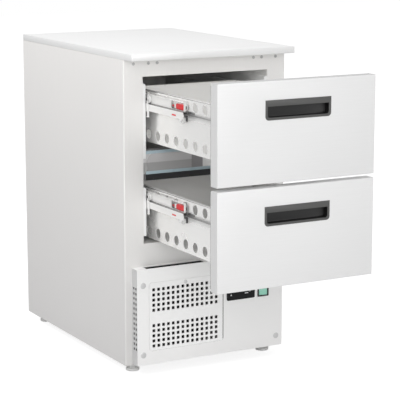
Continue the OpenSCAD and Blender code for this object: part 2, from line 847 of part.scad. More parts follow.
module compressor_cover() {
    face = front_w / 2;
    color("whitesmoke") in_frame() difference() {
        union() {
            box([-face, face], [-cover_out, skin_t - cover_out], [cover_z, cover_top]);
            for (z = [cover_z, cover_top - skin_t])
                box([-face, face], [-cover_out, 0], [z, z + skin_t]);
            both_sides() box([face - skin_t, face], [-cover_out, 0], [cover_z, cover_top]);
        }
        along_y([-cover_out - 1, 3 - cover_out]) {
            panel_outline(panel_gap);
            translate([panel_grip - panel_gap, 0]) panel_outline(panel_gap);
        }
        cover_side_holes();
        box([30 - face, 201 - face], [-cover_out + 3, -3], [cover_top - 3, cover_top + 1]);
        box([control_x - control_w / 2 + 3, control_x + control_w / 2 - 3],
            [-cover_out - 1, 3 - cover_out],
            [control_z - control_h / 2 + 3, control_z + control_h / 2 - 3]);
        box([switch_x - switch_w / 2 + 2, switch_x + switch_w / 2 - 2],
            [-cover_out - 1, 3 - cover_out],
            [switch_z - switch_h / 2 + 2, switch_z + switch_h / 2 - 2]);
        for (x = [-screw_x, screw_x], z = [screw_low, screw_high])
            disc_y(x, [-cover_out - 1, 3 - cover_out], z, screw_r + screw_gap);
    }
}

// perforated panel, flanged behind three edges of the opening
module access_grille() {
    face = -cover_out;
    color("white") in_frame() difference() {
        union() {
            along_y([face - panel_proud, face + skin_t + eps]) panel_outline(0);
            along_y([face + skin_t, face + 2 * skin_t]) intersection() {
                panel_outline(panel_flange);
                rect([panel_left - front_w, panel_right], [0, panel_z + panel_h]);
            }
            disc_y(knob_x, [face - 3.2, face], knob_z, 4);
        }
        for (col = [0:grille_cols - 1], row = [0:grille_rows - 1], group = [-1, 1]) {
            x = grille_x + (col - (grille_cols - 1) / 2) * grille_pitch_x;
            z = grille_z + group * grille_group / 2 + (row - (grille_rows - 1) / 2) * grille_pitch_z;
            box([x - grille_hole / 2, x + grille_hole / 2], [face - 5, face + 5],
                [z - grille_hole / 2, z + grille_hole / 2]);
        }
    }
}

// long screws that draw the cover against the face frame
module cover_screws() {
    color("lightgray") in_frame() for (x = [-screw_x, screw_x], z = [screw_low, screw_high]) {
        disc_y(x, [-cover_out - 1.2, -cover_out], z, screw_cap_r);
        disc_y(x, [-cover_out - eps, screw_reach], z, screw_r);
    }
}

module controller() {
    x = [control_x - control_w / 2, control_x + control_w / 2];
    z = [control_z - control_h / 2, control_z + control_h / 2];
    color("dimgray") in_frame() {
        along_y([-cover_out - 2, -cover_out]) round_rect(x, z, 4);
        box([x[0] + 3.5, x[1] - 3.5], [-cover_out - eps, 26 - cover_out], [z[0] + 3.5, z[1] - 3.5]);
    }
}

module switch_housing() {
    x = [switch_x - switch_w / 2, switch_x + switch_w / 2];
    z = [switch_z - switch_h / 2, switch_z + switch_h / 2];
    f = switch_frame + switch_wall;
    color("black") in_frame() {
        difference() {
            union() {
                along_y([-cover_out - 2, -cover_out]) round_rect(x, z, 2);
                box([x[0] + 2.5, x[1] - 2.5], [-cover_out - eps, 18 - cover_out],
                    [z[0] + 2.5, z[1] - 2.5]);
            }
            box([x[0] + f, x[1] - f], [-cover_out - 3, 12 - cover_out], [z[0] + f, z[1] - f]);
        }
        translate([switch_x, rocker_y, z[0] + 2.5]) cylinder(h = switch_h - 5, r = rocker_pin_r);
    }
}

// the rocker turns about an upright pin; it is drawn pressed in on the left
module switch_rocker() {
    half = switch_w / 2 - switch_frame - switch_wall - rocker_side_gap;
    edge = switch_frame + switch_wall + rocker_end_gap;
    z = [switch_z - switch_h / 2 + edge, switch_z + switch_h / 2 - edge];
    color("mediumseagreen") in_frame() translate([switch_x, rocker_y, z[0]])
        rotate([0, 0, -rocker_tilt]) linear_extrude(z[1] - z[0]) difference() {
            union() {
                polygon([[-half, -6], [0, -7.6], [half, -6], [half - 1, 0], [1 - half, 0]]);
                circle(3.5);
            }
            circle(rocker_pin_r + rocker_pin_gap);
        }
}

// ---- machine compartment ----

module compressor() {
    z = tray_top;
    color("black") in_frame() translate([pot_x, pot_y, z]) {
        translate([0, 0, pot_leg]) rotate_extrude() difference() {
            union() {
                rect([0, pot_r], [pot_base, pot_h - pot_crown]);
                translate([0, pot_base]) intersection() {
                    scale([pot_r, pot_r]) circle(1);
                    rect([0, pot_r], [-pot_base, 1]);
                }
                translate([0, pot_h - pot_crown]) intersection() {
                    circle(pot_r);
                    rect([0, pot_r], [-1, pot_crown]);
                }
            }
            rect([-pot_r, 0], [-pot_r, 2 * pot_h]);
        }
        box([-85, 85], [-60, 60], [12, 16]);
        for (x = [-72, 72], y = [-48, 48]) translate([x, y, 0]) cylinder(h = 13, r = 11);
        box([-30, 30], [-pot_r - 22, -pot_r + 20], [50, 95]);
        cylinder(h = discharge_stub_z - z, r = pipe_r + 1);
        disc_y(pipe_x - pot_x, [0, suction_stub_y - pot_y], pipe_low - z, pipe_r + 1);
    }
}

function coil_tube_z(z, tubes, i) = z[0] + (i + 0.5) * (z[1] - z[0]) / tubes;

// thin fins between two end plates, on straight tubes
module coil_block(x, y, z, fins, tubes) {
    pitch = (x[1] - x[0] - end_plate_t) / (fins - 1);
    for (i = [0:fins - 1]) {
        fin_x = x[0] + i * pitch;
        box([fin_x, fin_x + (i % (fins - 1) == 0 ? end_plate_t : 0.8)], y, z);
    }
    for (i = [0:tubes - 1])
        disc_x([x[0] - coil_tube_out, x[1] + coil_tube_out], (y[0] + y[1]) / 2,
            coil_tube_z(z, tubes, i), 4.5);
}

module condenser() {
    color("dimgray") in_frame() {
        coil_block(coil_x, coil_y, coil_z, coil_fins, coil_tubes);
        for (x = coil_leg_x) box([x, x + coil_leg_w], coil_y, [tray_top, coil_z[0] + eps]);
    }
}

// motor on four struts in a ring, with its shaft reaching forward through the fan
module fan_motor(y, r, z, x, motor_l) {
    ring = [y, y + fan_motor_back + 9];
    disc_y(x, [y + fan_motor_back, y + fan_motor_back + motor_l], z, 30);
    disc_y(x, [y + 2, y + fan_motor_back + 1], z, fan_shaft_r);
    for (a = [45:90:315]) translate([x, ring[1] - 4, z]) rotate([0, a, 0])
        box([20, r + fan_ring_in + 2], [0, 3], [-4, 4]);
    difference() {
        disc_y(x, ring, z, r + fan_ring_in + 4);
        disc_y(x, [ring[0] - 1, ring[1] + 1], z, r + fan_ring_in);
    }
}

module condenser_fan_motor() {
    color("dimgray") in_frame() {
        difference() {
            box(coil_x, [coil_y[1], coil_y[1] + 2], [tray_top, coil_z[1]]);
            disc_y(fan_x, [coil_y[1] - 1, coil_y[1] + 4], fan_z, fan_r + fan_hole);
        }
        fan_motor(coil_y[1] + 1, fan_r, fan_z, fan_x, 40);
    }
}

// hub and raked blades cut to the fan's circle
module fan(x, y, z, r) {
    difference() {
        union() {
            disc_y(x, [y, y + 14], z, 20);
            intersection() {
                disc_y(x, [y - 10, y + 30], z, r);
                translate([x, y + 7, z]) for (i = [0:4]) rotate([0, i * 72, 0])
                    rotate([fan_rake, 0, 0]) box([15, r + 5], [-1, 1], [-18, 18]);
            }
        }
        disc_y(x, [y - 11, y + 31], z, fan_shaft_r + fan_shaft_gap);
    }
}

module condenser_fan() {
    color("black") in_frame() fan(fan_x, fan_y, fan_z, fan_r - 2);
}

module evaporator() {
    color("silver") in_frame()
        coil_block([-air_coil_half, air_coil_half], air_coil_y, air_coil_z, air_coil_fins,
            air_coil_tubes);
}

module evaporator_housing() {
    x = air_half;
    low = bay_low + air_floor;
    high = bay_top - air_roof;
    color("gainsboro") in_frame() {
        difference() {
            box([-x, x], [air_face_y, bay_back], [low, high]);
            box([skin_t - x, x - skin_t], [air_face_y + skin_t, bay_back + 1],
                [low + skin_t, high - skin_t]);
            disc_y(0, [air_face_y - 1, air_face_y + 3], air_fan_z, air_fan_r + fan_hole);
            for (row = [0:6]) box([38 - x, x - 38], [air_face_y - 1, air_face_y + 3],
                [low + 25 + row * 16, low + 32 + row * 16]);
        }
        fan_motor(air_face_y + eps, air_fan_r, air_fan_z, 0, 26);
    }
}

module evaporator_fan() {
    color("black") in_frame() fan(0, air_face_y + 5, air_fan_z, air_fan_r - 2);
}

// the suction line that climbs through the back wall; a cut starts early, so that it bores right through
module pipe_route(r, early) {
    translate([pipe_x, pipe_y, pipe_low]) cylinder(h = pipe_high - pipe_low, r = r);
    translate([pipe_x, pipe_y, pipe_high]) sphere(r);
    disc_y(pipe_x, [air_coil_y[1] - early, pipe_y], pipe_high, r);
}

module pipe_bore() {
    pipe_route(pipe_r + pipe_gap, 1);
}

// tube along a list of points, with a ball at each bend
module pipe_run(points) {
    for (i = [0:len(points) - 2]) {
        step = points[i + 1] - points[i];
        length = norm(step);
        translate(points[i]) rotate([0, acos(step[2] / length), atan2(step[1], step[0])])
            cylinder(h = length, r = pipe_r);
    }
    for (i = [1:len(points) - 2]) translate(points[i]) sphere(pipe_r);
}

// suction line, and the discharge line from the compressor's top stub to the condenser's top tube
module refrigerant_pipes() {
    tube_y = (coil_y[0] + coil_y[1]) / 2;
    line_x = coil_x[1] + line_room;
    line_z = coil_tube_z(coil_z, coil_tubes, coil_tubes - 1);
    color("peru") in_frame() {
        pipe_route(pipe_r, 0);
        translate([pipe_x, pipe_y, pipe_low]) sphere(pipe_r);
        disc_y(pipe_x, [suction_stub_y, pipe_y], pipe_low, pipe_r);
        pipe_run([[coil_x[1] + coil_tube_out, tube_y, line_z], [line_x, tube_y, line_z],
            [line_x, pot_y, line_z], [pot_x, pot_y, line_z], [pot_x, pot_y, discharge_stub_z]]);
    }
}

module cable_gland() {
    z = cab_low + skin_t;
    color("black") in_frame() translate([gland_x, gland_y, z]) difference() {
        union() {
            translate([0, 0, -5]) cylinder(h = 5, r = gland_r + 4, $fn = 6);
            translate([0, 0, -eps]) cylinder(h = 12, r = gland_r);
            translate([0, 0, 1.5]) cylinder(h = 5, r = gland_r + 4, $fn = 6);
        }
        translate([0, 0, -6]) cylinder(h = 25, r = 5);
    }
}

module foot(i) {
    p = foot_places[i];
    color("whitesmoke") in_frame() translate([p[0], p[1], 0]) {
        rotate_extrude() {
            rect([0, foot_d / 2], [0, foot_pad_t - 3]);
            rect([0, foot_d / 2 - 3], [0, foot_pad_t]);
            translate([foot_d / 2 - 3, foot_pad_t - 3]) intersection() {
                circle(3);
                rect([0, 3], [0, 3]);
            }
        }
        cylinder(h = foot_h + 12, r = foot_stem_r);
        translate([0, 0, foot_pad_t - eps]) cylinder(h = 6, r = foot_stem_r + 5, $fn = 6);
    }
}

module front_left_foot() foot(0);
module front_right_foot() foot(1);
module rear_left_foot() foot(2);
module rear_right_foot() foot(3);

// ---- every piece by its name ----

worktop();
left_side_panel();
right_side_panel();
back_panel();
base_tray();
front_frame();
inner_liner();
insulation();
mid_rail();
mid_rail_strips();
slide_frames();
hole_plugs();
fixed_rails();
compressor_cover();
access_grille();
cover_screws();
controller();
switch_housing();
switch_rocker();
compressor();
condenser();
condenser_fan_motor();
condenser_fan();
evaporator();
evaporator_housing();
evaporator_fan();
refrigerant_pipes();
cable_gland();
front_left_foot();
front_right_foot();
rear_left_foot();
rear_right_foot();
fixed_rollers(UPPER);  // upper_fixed_rollers
middle_rails(UPPER);  // upper_middle_rails
middle_rear_rollers(UPPER);  // upper_middle_rear_rollers
middle_front_rollers(UPPER);  // upper_middle_front_rollers
drawer_rollers(UPPER);  // upper_drawer_rollers
left_catch(UPPER);  // upper_left_catch
right_catch(UPPER);  // upper_right_catch
front_skin(UPPER);  // upper_front_skin
front_core(UPPER);  // upper_front_core
gasket(UPPER);  // upper_gasket
handle(UPPER);  // upper_handle
drawer_sides(UPPER);  // upper_drawer_sides
drawer_tray(UPPER);  // upper_drawer_tray
drawer_rails(UPPER);  // upper_drawer_rails
fixed_rollers(LOWER);  // lower_fixed_rollers
middle_rails(LOWER);  // lower_middle_rails
middle_rear_rollers(LOWER);  // lower_middle_rear_rollers
middle_front_rollers(LOWER);  // lower_middle_front_rollers
drawer_rollers(LOWER);  // lower_drawer_rollers
left_catch(LOWER);  // lower_left_catch
right_catch(LOWER);  // lower_right_catch
front_skin(LOWER);  // lower_front_skin
front_core(LOWER);  // lower_front_core
gasket(LOWER);  // lower_gasket
handle(LOWER);  // lower_handle
drawer_sides(LOWER);  // lower_drawer_sides
drawer_tray(LOWER);  // lower_drawer_tray
drawer_rails(LOWER);  // lower_drawer_rails
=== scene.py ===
import json
import math

import bmesh
import bpy
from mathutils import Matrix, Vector

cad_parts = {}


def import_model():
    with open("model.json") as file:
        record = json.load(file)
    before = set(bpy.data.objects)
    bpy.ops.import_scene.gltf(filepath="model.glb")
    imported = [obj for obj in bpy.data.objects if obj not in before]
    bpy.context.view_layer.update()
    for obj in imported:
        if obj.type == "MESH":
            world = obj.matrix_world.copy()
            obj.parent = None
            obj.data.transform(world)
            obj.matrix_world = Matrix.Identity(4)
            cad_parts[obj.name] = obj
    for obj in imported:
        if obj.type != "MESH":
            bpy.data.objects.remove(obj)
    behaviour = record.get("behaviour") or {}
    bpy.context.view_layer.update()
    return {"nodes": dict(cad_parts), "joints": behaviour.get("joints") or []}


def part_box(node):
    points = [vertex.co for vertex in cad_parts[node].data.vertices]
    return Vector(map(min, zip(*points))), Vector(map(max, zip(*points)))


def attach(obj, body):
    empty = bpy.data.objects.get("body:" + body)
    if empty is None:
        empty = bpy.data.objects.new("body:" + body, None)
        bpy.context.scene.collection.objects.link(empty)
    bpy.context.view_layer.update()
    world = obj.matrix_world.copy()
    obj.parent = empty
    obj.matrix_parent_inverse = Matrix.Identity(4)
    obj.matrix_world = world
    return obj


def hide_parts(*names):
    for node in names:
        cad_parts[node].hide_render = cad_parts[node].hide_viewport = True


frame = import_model()

MM = 0.001
LEVELS = ("upper", "lower")
SIDES = {"left": -1, "right": 1}
JOINTS = {joint["name"]: joint for joint in frame["joints"]}
# Each slide's running line lies just above the front rollers of its middle rails
LINE_OVER_AXLE = 12.3 * MM
RUNNING_LINE = {level: JOINTS[f"{level}_middle_front_rollers_spin"]["pos_m"][2] + LINE_OVER_AXLE
                for level in LEVELS}
# Edges sharper than this get a bevel, and flatter ones are shaded smooth
SHARP = math.radians(35)


# ---- working with meshes ----

def deselect():
    active = bpy.context.view_layer.objects.active
    if active is not None and active.mode != "OBJECT":
        bpy.ops.object.mode_set(mode="OBJECT")
    bpy.ops.object.select_all(action="DESELECT")


def only(piece):
    deselect()
    piece.select_set(True)
    bpy.context.view_layer.objects.active = piece


def settle(piece):
    """Puts the piece's place, turn and size into its mesh."""
    only(piece)
    bpy.ops.object.transform_apply(location=True, rotation=True, scale=True)
    return piece


def block(name, low, high):
    low, high = Vector(low), Vector(high)
    deselect()
    bpy.ops.mesh.primitive_cube_add(size=1, location=(low + high) / 2, scale=high - low)
    piece = bpy.context.object
    piece.name = name
    return settle(piece)


def rod(name, axis, centre, length, radius, sides):
    turn = {"x": (0, math.pi / 2, 0), "y": (math.pi / 2, 0, 0), "z": (0, 0, 0)}[axis]
    deselect()
    bpy.ops.mesh.primitive_cylinder_add(
        vertices=sides, radius=radius, depth=length, location=centre, rotation=turn)
    piece = bpy.context.object
    piece.name = name
    return settle(piece)


def pick(piece, kind, rule):
    """Goes into edit mode with the parts of that kind selected for which the rule holds."""
    only(piece)
    bpy.ops.object.mode_set(mode="EDIT")
    bpy.ops.mesh.select_mode(type=kind)
    bpy.ops.mesh.select_all(action="DESELECT")
    shape = bmesh.from_edit_mesh(piece.data)
    parts = {"VERT": shape.verts, "EDGE": shape.edges, "FACE": shape.faces}[kind]
    for part in parts:
        if rule(part):
            part.select_set(True)
    shape.select_flush_mode()
    bmesh.update_edit_mesh(piece.data)


def done():
    bpy.ops.object.mode_set(mode="OBJECT")


def near(value, target):
    return abs(value - target) < 1e-5


def edge_at(axis, place, along=None):
    """Edges that lie in the plane axis = place, and run along another axis if one is given."""
    def rule(edge):
        first, second = (corner.co for corner in edge.verts)
        if not (near(first[axis], place) and near(second[axis], place)):
            return False
        if along is None:
            return True
        step = (second - first).normalized()
        return abs(step[along]) > 0.99
    return rule


def edge_along(axis):
    def rule(edge):
        first, second = (corner.co for corner in edge.verts)
        return abs((second - first).normalized()[axis]) > 0.99
    return rule


def round_edges(piece, rule, radius, segments=6):
    pick(piece, "EDGE", rule)
    bpy.ops.mesh.bevel(offset=radius, offset_type="OFFSET", segments=segments, profile=0.5)
    done()


def apply(piece, modifier):
    only(piece)
    bpy.ops.object.modifier_apply(modifier=modifier.name)


def soften(piece, radius, segments):
    bevel = piece.modifiers.new("edge", "BEVEL")
    bevel.width = radius
    bevel.segments = segments
    bevel.limit_method = "ANGLE"
    bevel.angle_limit = SHARP
    apply(piece, bevel)
    only(piece)
    bpy.ops.object.shade_smooth_by_angle(angle=SHARP)
    return piece


def combine(piece, other, how):
    boolean = piece.modifiers.new("combine", "BOOLEAN")
    boolean.operation = how
    boolean.solver = "EXACT"
    boolean.object = other
    apply(piece, boolean)
    bpy.data.objects.remove(other)
    return piece


def cut(piece, other):
    return combine(piece, other, "DIFFERENCE")


def add(piece, other):
    return combine(piece, other, "UNION")


def join(name, pieces):
    deselect()
    for piece in pieces:
        piece.select_set(True)
    bpy.context.view_layer.objects.active = pieces[0]
    bpy.ops.object.join()
    pieces[0].name = name
    return pieces[0]


def spun(name, section, centre, axis):
    """Turns a flat section, a piece with one face, round an axis into a closed ring."""
    only(section)
    bpy.ops.object.mode_set(mode="EDIT")
    bpy.ops.mesh.select_all(action="SELECT")
    bpy.ops.mesh.delete(type="ONLY_FACE")
    bpy.ops.mesh.select_all(action="SELECT")
    bpy.ops.mesh.spin(steps=48, angle=2 * math.pi, center=centre, axis=axis)
    bpy.ops.mesh.select_all(action="SELECT")
    bpy.ops.mesh.remove_doubles(threshold=1e-6)
    bpy.ops.mesh.normals_make_consistent(inside=False)
    done()
    bpy.ops.object.shade_smooth_by_angle(angle=math.radians(40))
    section.name = name
    return section


def side_box(node, sign):
    """Low and high corner of the part of a CAD node on one side of the middle."""
    points = [corner.co for corner in frame["nodes"][node].data.vertices if corner.co.x * sign > 0]
    low = Vector([min(point[axis] for point in points) for axis in range(3)])
    high = Vector([max(point[axis] for point in points) for axis in range(3)])
    return low, high


# ---- materials ----

# How far the pull's bezel stands out of the drawer front
PULL_PROUD = 1.0 * MM
# Distance from the middle to the outer face of a drawer side
DRAWER_SIDE = 0.160
# The painted shadow lines' ends along Y: 5 mm in front of the face frame, level with the front of the
# middle rails' front rollers, and at the back of the drawer front
SHADOW_LINE_BACK, SHADOW_LINE_MIDDLE, SHADOW_LINE_FRONT = -0.105, -0.294, -0.518
# The painted shadow spot round the middle rail's front end: ends along Y, and rise over the running
# line
SPOT_FRONT, SPOT_BACK = -0.332, -0.296
SPOT_LOW, SPOT_HIGH = 1.5 * MM, 7.5 * MM
# The cross rail's painted dark reflection band: its left and right side
BAND_LEFT, BAND_RIGHT = -0.043, -0.010
# How close to a face a place has to lie to count as on it
ON_FACE = 0.3 * MM
# Painted shade: tone of the machine cover's shaded inside, and of the gap that shows it
INSIDE_SHADE = (0.04, 0.04, 0.04)
# The values between which a pattern goes from its first tone to its second
PATTERN_LOW, PATTERN_HIGH = 0.3, 0.7


def node_of(tree, kind, **values):
    made = tree.nodes.new(kind)
    for name, value in values.items():
        setattr(made, name, value)
    return made


def new_material(name, colour, metallic, roughness):
    material = bpy.data.materials.new(name)
    material.use_nodes = True
    shader = material.node_tree.nodes["Principled BSDF"]
    shader.inputs["Base Color"].default_value = (*colour, 1)
    shader.inputs["Metallic"].default_value = metallic
    shader.inputs["Roughness"].default_value = roughness
    return material, material.node_tree, shader


def grain(tree, stretch, scale, detail):
    """Noise on object coordinates, stretched by a factor for each axis."""
    place = node_of(tree, "ShaderNodeTexCoord")
    mapping = node_of(tree, "ShaderNodeMapping")
    mapping.inputs["Scale"].default_value = stretch
    noise = node_of(tree, "ShaderNodeTexNoise")
    noise.inputs["Scale"].default_value = scale
    noise.inputs["Detail"].default_value = detail
    tree.links.new(place.outputs["Object"], mapping.inputs["Vector"])
    tree.links.new(mapping.outputs["Vector"], noise.inputs["Vector"])
    return noise.outputs["Fac"]


def spread(tree, value, low, high):
    ranged = node_of(tree, "ShaderNodeMapRange")
    ranged.inputs["From Min"].default_value = PATTERN_LOW
    ranged.inputs["From Max"].default_value = PATTERN_HIGH
    ranged.inputs["To Min"].default_value = low
    ranged.inputs["To Max"].default_value = high
    tree.links.new(value, ranged.inputs["Value"])
    return ranged.outputs["Result"]


def shade_between(tree, value, first, second):
    ramp = node_of(tree, "ShaderNodeValToRGB")
    ramp.color_ramp.elements[0].position = PATTERN_LOW
    ramp.color_ramp.elements[1].position = PATTERN_HIGH
    ramp.color_ramp.elements[0].color = (*first, 1)
    ramp.color_ramp.elements[1].color = (*second, 1)
    tree.links.new(value, ramp.inputs["Fac"])
    return ramp.outputs["Color"]


def bump(tree, shader, height, distance):
    raised = node_of(tree, "ShaderNodeBump")
    raised.inputs["Distance"].default_value = distance
    raised.inputs["Strength"].default_value = 1.0
    tree.links.new(height, raised.inputs["Height"])
    tree.links.new(raised.outputs["Normal"], shader.inputs["Normal"])


BRUSH_DEPTH = 0.003 * MM


def brushed_steel(name, colour, metallic, roughness, along):
    """Satin sheet steel: fine lines along one axis, and a slow cloud over the whole sheet."""
    material, tree, shader = new_material(name, colour, metallic, roughness)
    stretch = {"x": (1, 60, 60), "y": (60, 1, 60), "z": (60, 60, 1)}[along]
    lines = grain(tree, stretch, 12.0, 6.0)
    darker = tuple(value * 0.988 for value in colour)
    lighter = tuple(min(1.0, value * 1.01) for value in colour)
    tree.links.new(shade_between(tree, lines, darker, lighter), shader.inputs["Base Color"])
    cloud = grain(tree, (1, 1, 1), 7.0, 2.0)
    tree.links.new(
        spread(tree, cloud, roughness - 0.04, roughness + 0.05), shader.inputs["Roughness"])
    bump(tree, shader, lines, BRUSH_DEPTH)
    return material


def moulded(name, colour, roughness, pitch=900.0, depth=0.00002, coat=0.0, specular=0.5):
    """Moulded plastic with a fine spark-eroded grain."""
    material, tree, shader = new_material(name, colour, 0.0, roughness)
    pores = grain(tree, (1, 1, 1), pitch, 3.0)
    darker = tuple(value * 0.93 for value in colour)
    lighter = tuple(min(1.0, value * 1.05) for value in colour)
    tree.links.new(shade_between(tree, pores, darker, lighter), shader.inputs["Base Color"])
    cloud = grain(tree, (1, 1, 1), 40.0, 2.0)
    tree.links.new(
        spread(tree, cloud, roughness - 0.05, roughness + 0.06), shader.inputs["Roughness"])
    bump(tree, shader, pores, depth)
    shader.inputs["Coat Weight"].default_value = coat
    shader.inputs["Specular IOR Level"].default_value = specular
    return material


def foam(name, colour):
    material, tree, shader = new_material(name, colour, 0.0, 0.9)
    cells = node_of(tree, "ShaderNodeTexVoronoi")
    cells.inputs["Scale"].default_value = 320.0
    place = node_of(tree, "ShaderNodeTexCoord")
    tree.links.new(place.outputs["Object"], cells.inputs["Vector"])
    darker = tuple(value * 0.8 for value in colour)
    tree.links.new(
        shade_between(tree, cells.outputs["Distance"], colour, darker), shader.inputs["Base Color"])
    bump(tree, shader, cells.outputs["Distance"], 0.0004)
    return material


def compared(tree, value, centre, reach):
    """One where the value is within reach of the centre, else nothing."""
    test = node_of(tree, "ShaderNodeMath", operation="COMPARE")
    test.inputs[1].default_value = centre
    test.inputs[2].default_value = reach
    tree.links.new(value, test.inputs[0])
    return test.outputs[0]


def within(tree, value, low, high):
    return compared(tree, value, (low + high) / 2, (high - low) / 2)


def joined(tree, first, second, operation):
    pair = node_of(tree, "ShaderNodeMath", operation=operation)
    tree.links.new(first, pair.inputs[0])
    tree.links.new(second, pair.inputs[1])
    return pair.outputs[0]


def both(tree, first, second):
    return joined(tree, first, second, "MULTIPLY")


def either(tree, first, second):
    return joined(tree, first, second, "MAXIMUM")


def opened(material):
    """The tree, the shader and the place on the object, for what is added to a finished material."""
    tree = material.node_tree
    place = node_of(tree, "ShaderNodeTexCoord")
    split = node_of(tree, "ShaderNodeSeparateXYZ")
    tree.links.new(place.outputs["Object"], split.inputs[0])
    return tree, tree.nodes["Principled BSDF"], split.outputs


def toned(tree, shader, share, colour):
    """Mixes another colour into what the shader has so far."""
    mix = node_of(tree, "ShaderNodeMix", data_type="RGBA")
    tree.links.new(share, mix.inputs[0])
    tree.links.new(shader.inputs["Base Color"].links[0].from_socket, mix.inputs[6])
    mix.inputs[7].default_value = (*colour, 1)
    tree.links.new(mix.outputs[2], shader.inputs["Base Color"])


def on_face(tree, x, face):
    """One on the two upright faces at that distance from the middle."""
    side = node_of(tree, "ShaderNodeMath", operation="ABSOLUTE")
    tree.links.new(x, side.inputs[0])
    return compared(tree, side.outputs[0], face, ON_FACE)


def polished_outside(material, face, inside, outside):
    """More mirror-like on the outer faces than within."""
    tree, shader, place = opened(material)
    level = node_of(tree, "ShaderNodeMapRange")
    level.inputs["To Min"].default_value = inside
    level.inputs["To Max"].default_value = outside
    tree.links.new(on_face(tree, place["X"], face), level.inputs["Value"])
    tree.links.new(level.outputs["Result"], shader.inputs["Metallic"])
    return material


def painted_rail_reflections(material):
    """Painted reflections on the cross rail's polish: dark in its lower left half and in an upright
    band, light beyond.
    """
    tree, shader, place = opened(material)
    low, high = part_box("mid_rail_strips")
    lower = both(tree, within(tree, place["Z"], low.z, (low.z + high.z) / 2),
                 within(tree, place["X"], -0.2, -0.04))
    toned(tree, shader, lower, (0.50, 0.50, 0.50))
    toned(tree, shader, within(tree, place["X"], BAND_LEFT, BAND_RIGHT), (0.33, 0.32, 0.33))
    toned(tree, shader, within(tree, place["X"], BAND_RIGHT, 0.2), (0.95, 0.95, 0.94))
    return material


def shaded_cup(material):
    """Painted shade: the pull's cup behind its bezel is toned darker than the bezel, for the shade
    inside it.
    """
    tree, shader, place = opened(material)
    low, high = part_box("upper_handle")
    inside = within(tree, place["Y"], low.y + PULL_PROUD + 0.6 * MM, high.y + 1 * MM)
    toned(tree, shader, inside, (0.008, 0.008, 0.008))
    return material


def shaded_front_edges(material):
    """Painted shade: the side faces of the drawer fronts and the upper front's top are toned darker
    than the faces, where less light falls on them.
    """
    tree, shader, place = opened(material)
    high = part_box("upper_front_skin")[1]
    toned(tree, shader, on_face(tree, place["X"], high.x), (0.73, 0.73, 0.73))
    toned(tree, shader, compared(tree, place["Z"], high.z, ON_FACE), (0.55, 0.55, 0.55))
    return material


def painted_shade_below(material, high, low, colour):
    """Painted shade: a slow darkening down the sheet, where less light falls lower down."""
    tree, shader, place = opened(material)
    share = node_of(tree, "ShaderNodeMapRange")
    share.inputs["From Min"].default_value = high
    share.inputs["From Max"].default_value = low
    tree.links.new(place["Z"], share.inputs["Value"])
    toned(tree, shader, share.outputs["Result"], colour)
    return material


def stop_shadow(material):
    """Painted shadow: the dark spot on the drawer side beside the front end of the middle rail."""
    tree, shader, place = opened(material)
    spots = [within(tree, place["Z"], RUNNING_LINE[level] + SPOT_LOW, RUNNING_LINE[level] + SPOT_HIGH)
             for level in LEVELS]
    share = both(tree, either(tree, *spots), within(tree, place["Y"], SPOT_FRONT, SPOT_BACK))
    share = both(tree, share, on_face(tree, place["X"], DRAWER_SIDE))
    toned(tree, shader, share, (0.34, 0.34, 0.34))
    return material


def behind_cover(tree, place):
    """One inside the machine cover's sheet, below its top flange."""
    low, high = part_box("compressor_cover")
    inside = both(tree, within(tree, place["X"], low.x + 0.7 * MM, high.x - 0.7 * MM),
                  within(tree, place["Z"], low.z, high.z - 3 * MM))
    return both(tree, inside, within(tree, place["Y"], low.y + 0.4 * MM, low.y + 90 * MM))


def painted_cover_shade(material):
    """The machine cover's painted shade: greyer returns at its sides, where less light falls, and a
    dark inside behind its openings, where shade falls.
    """
    tree, shader, place = opened(material)
    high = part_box("compressor_cover")[1]
    toned(tree, shader, on_face(tree, place["X"], high.x), (0.66, 0.66, 0.665))
    toned(tree, shader, behind_cover(tree, place), INSIDE_SHADE)
    return material


def painted_shade_behind_cover(material):
    """Painted shade on the part of the face frame that lies in the machine cover's shaded inside."""
    tree, shader, place = opened(material)
    toned(tree, shader, behind_cover(tree, place), INSIDE_SHADE)
    return material


def panel_gap_shade(material):
    """Painted shade: a dark line on the access panel's top, bottom and right for the shaded gap round
    it, darkest at the right.
    """
    tree, shader, place = opened(material)
    low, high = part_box("access_grille")
    ends = either(tree, within(tree, place["Z"], low.z - 1 * MM, low.z + 2.2 * MM),
                  within(tree, place["Z"], high.z - 1.6 * MM, high.z + 1 * MM))
    toned(tree, shader, ends, (0.22, 0.22, 0.22))
    right = within(tree, place["X"], high.x - 1.3 * MM, high.x + 1 * MM)
    toned(tree, shader, right, INSIDE_SHADE)
    return material


def painted_shadow_line(material, rise, reach, back, front, weakest, face=None):
    """Painted shadow: a dark line along Y at one height over each running line, weaker towards the
    front.
    """
    tree, shader, place = opened(material)
    lines = [compared(tree, place["Z"], RUNNING_LINE[level] + rise, reach) for level in LEVELS]
    fade = node_of(tree, "ShaderNodeMapRange")
    fade.inputs["From Min"].default_value = front
    fade.inputs["From Max"].default_value = back
    fade.inputs["To Min"].default_value = weakest
    tree.links.new(place["Y"], fade.inputs["Value"])
    share = both(tree, either(tree, *lines), fade.outputs["Result"])
    if face is not None:
        share = both(tree, share, on_face(tree, place["X"], face))
    toned(tree, shader, share, (0.10, 0.10, 0.10))
    return material


# Painted shade: the outer, frame and cover steels darken down the sheet
outer_steel = painted_shade_below(
    brushed_steel("outer_steel", (0.95, 0.935, 0.92), 0.3, 0.42, "z"),
    0.83, 0.02, (0.735, 0.725, 0.72))
# Painted shade on the face frame where it lies inside the machine cover
frame_steel = painted_shade_behind_cover(painted_shade_below(
    brushed_steel("frame_steel", (0.90, 0.89, 0.875), 0.25, 0.45, "z"),
    0.45, 0.02, (0.72, 0.71, 0.70)))
top_steel = brushed_steel("top_steel", (0.88, 0.88, 0.88), 0.3, 0.36, "x")
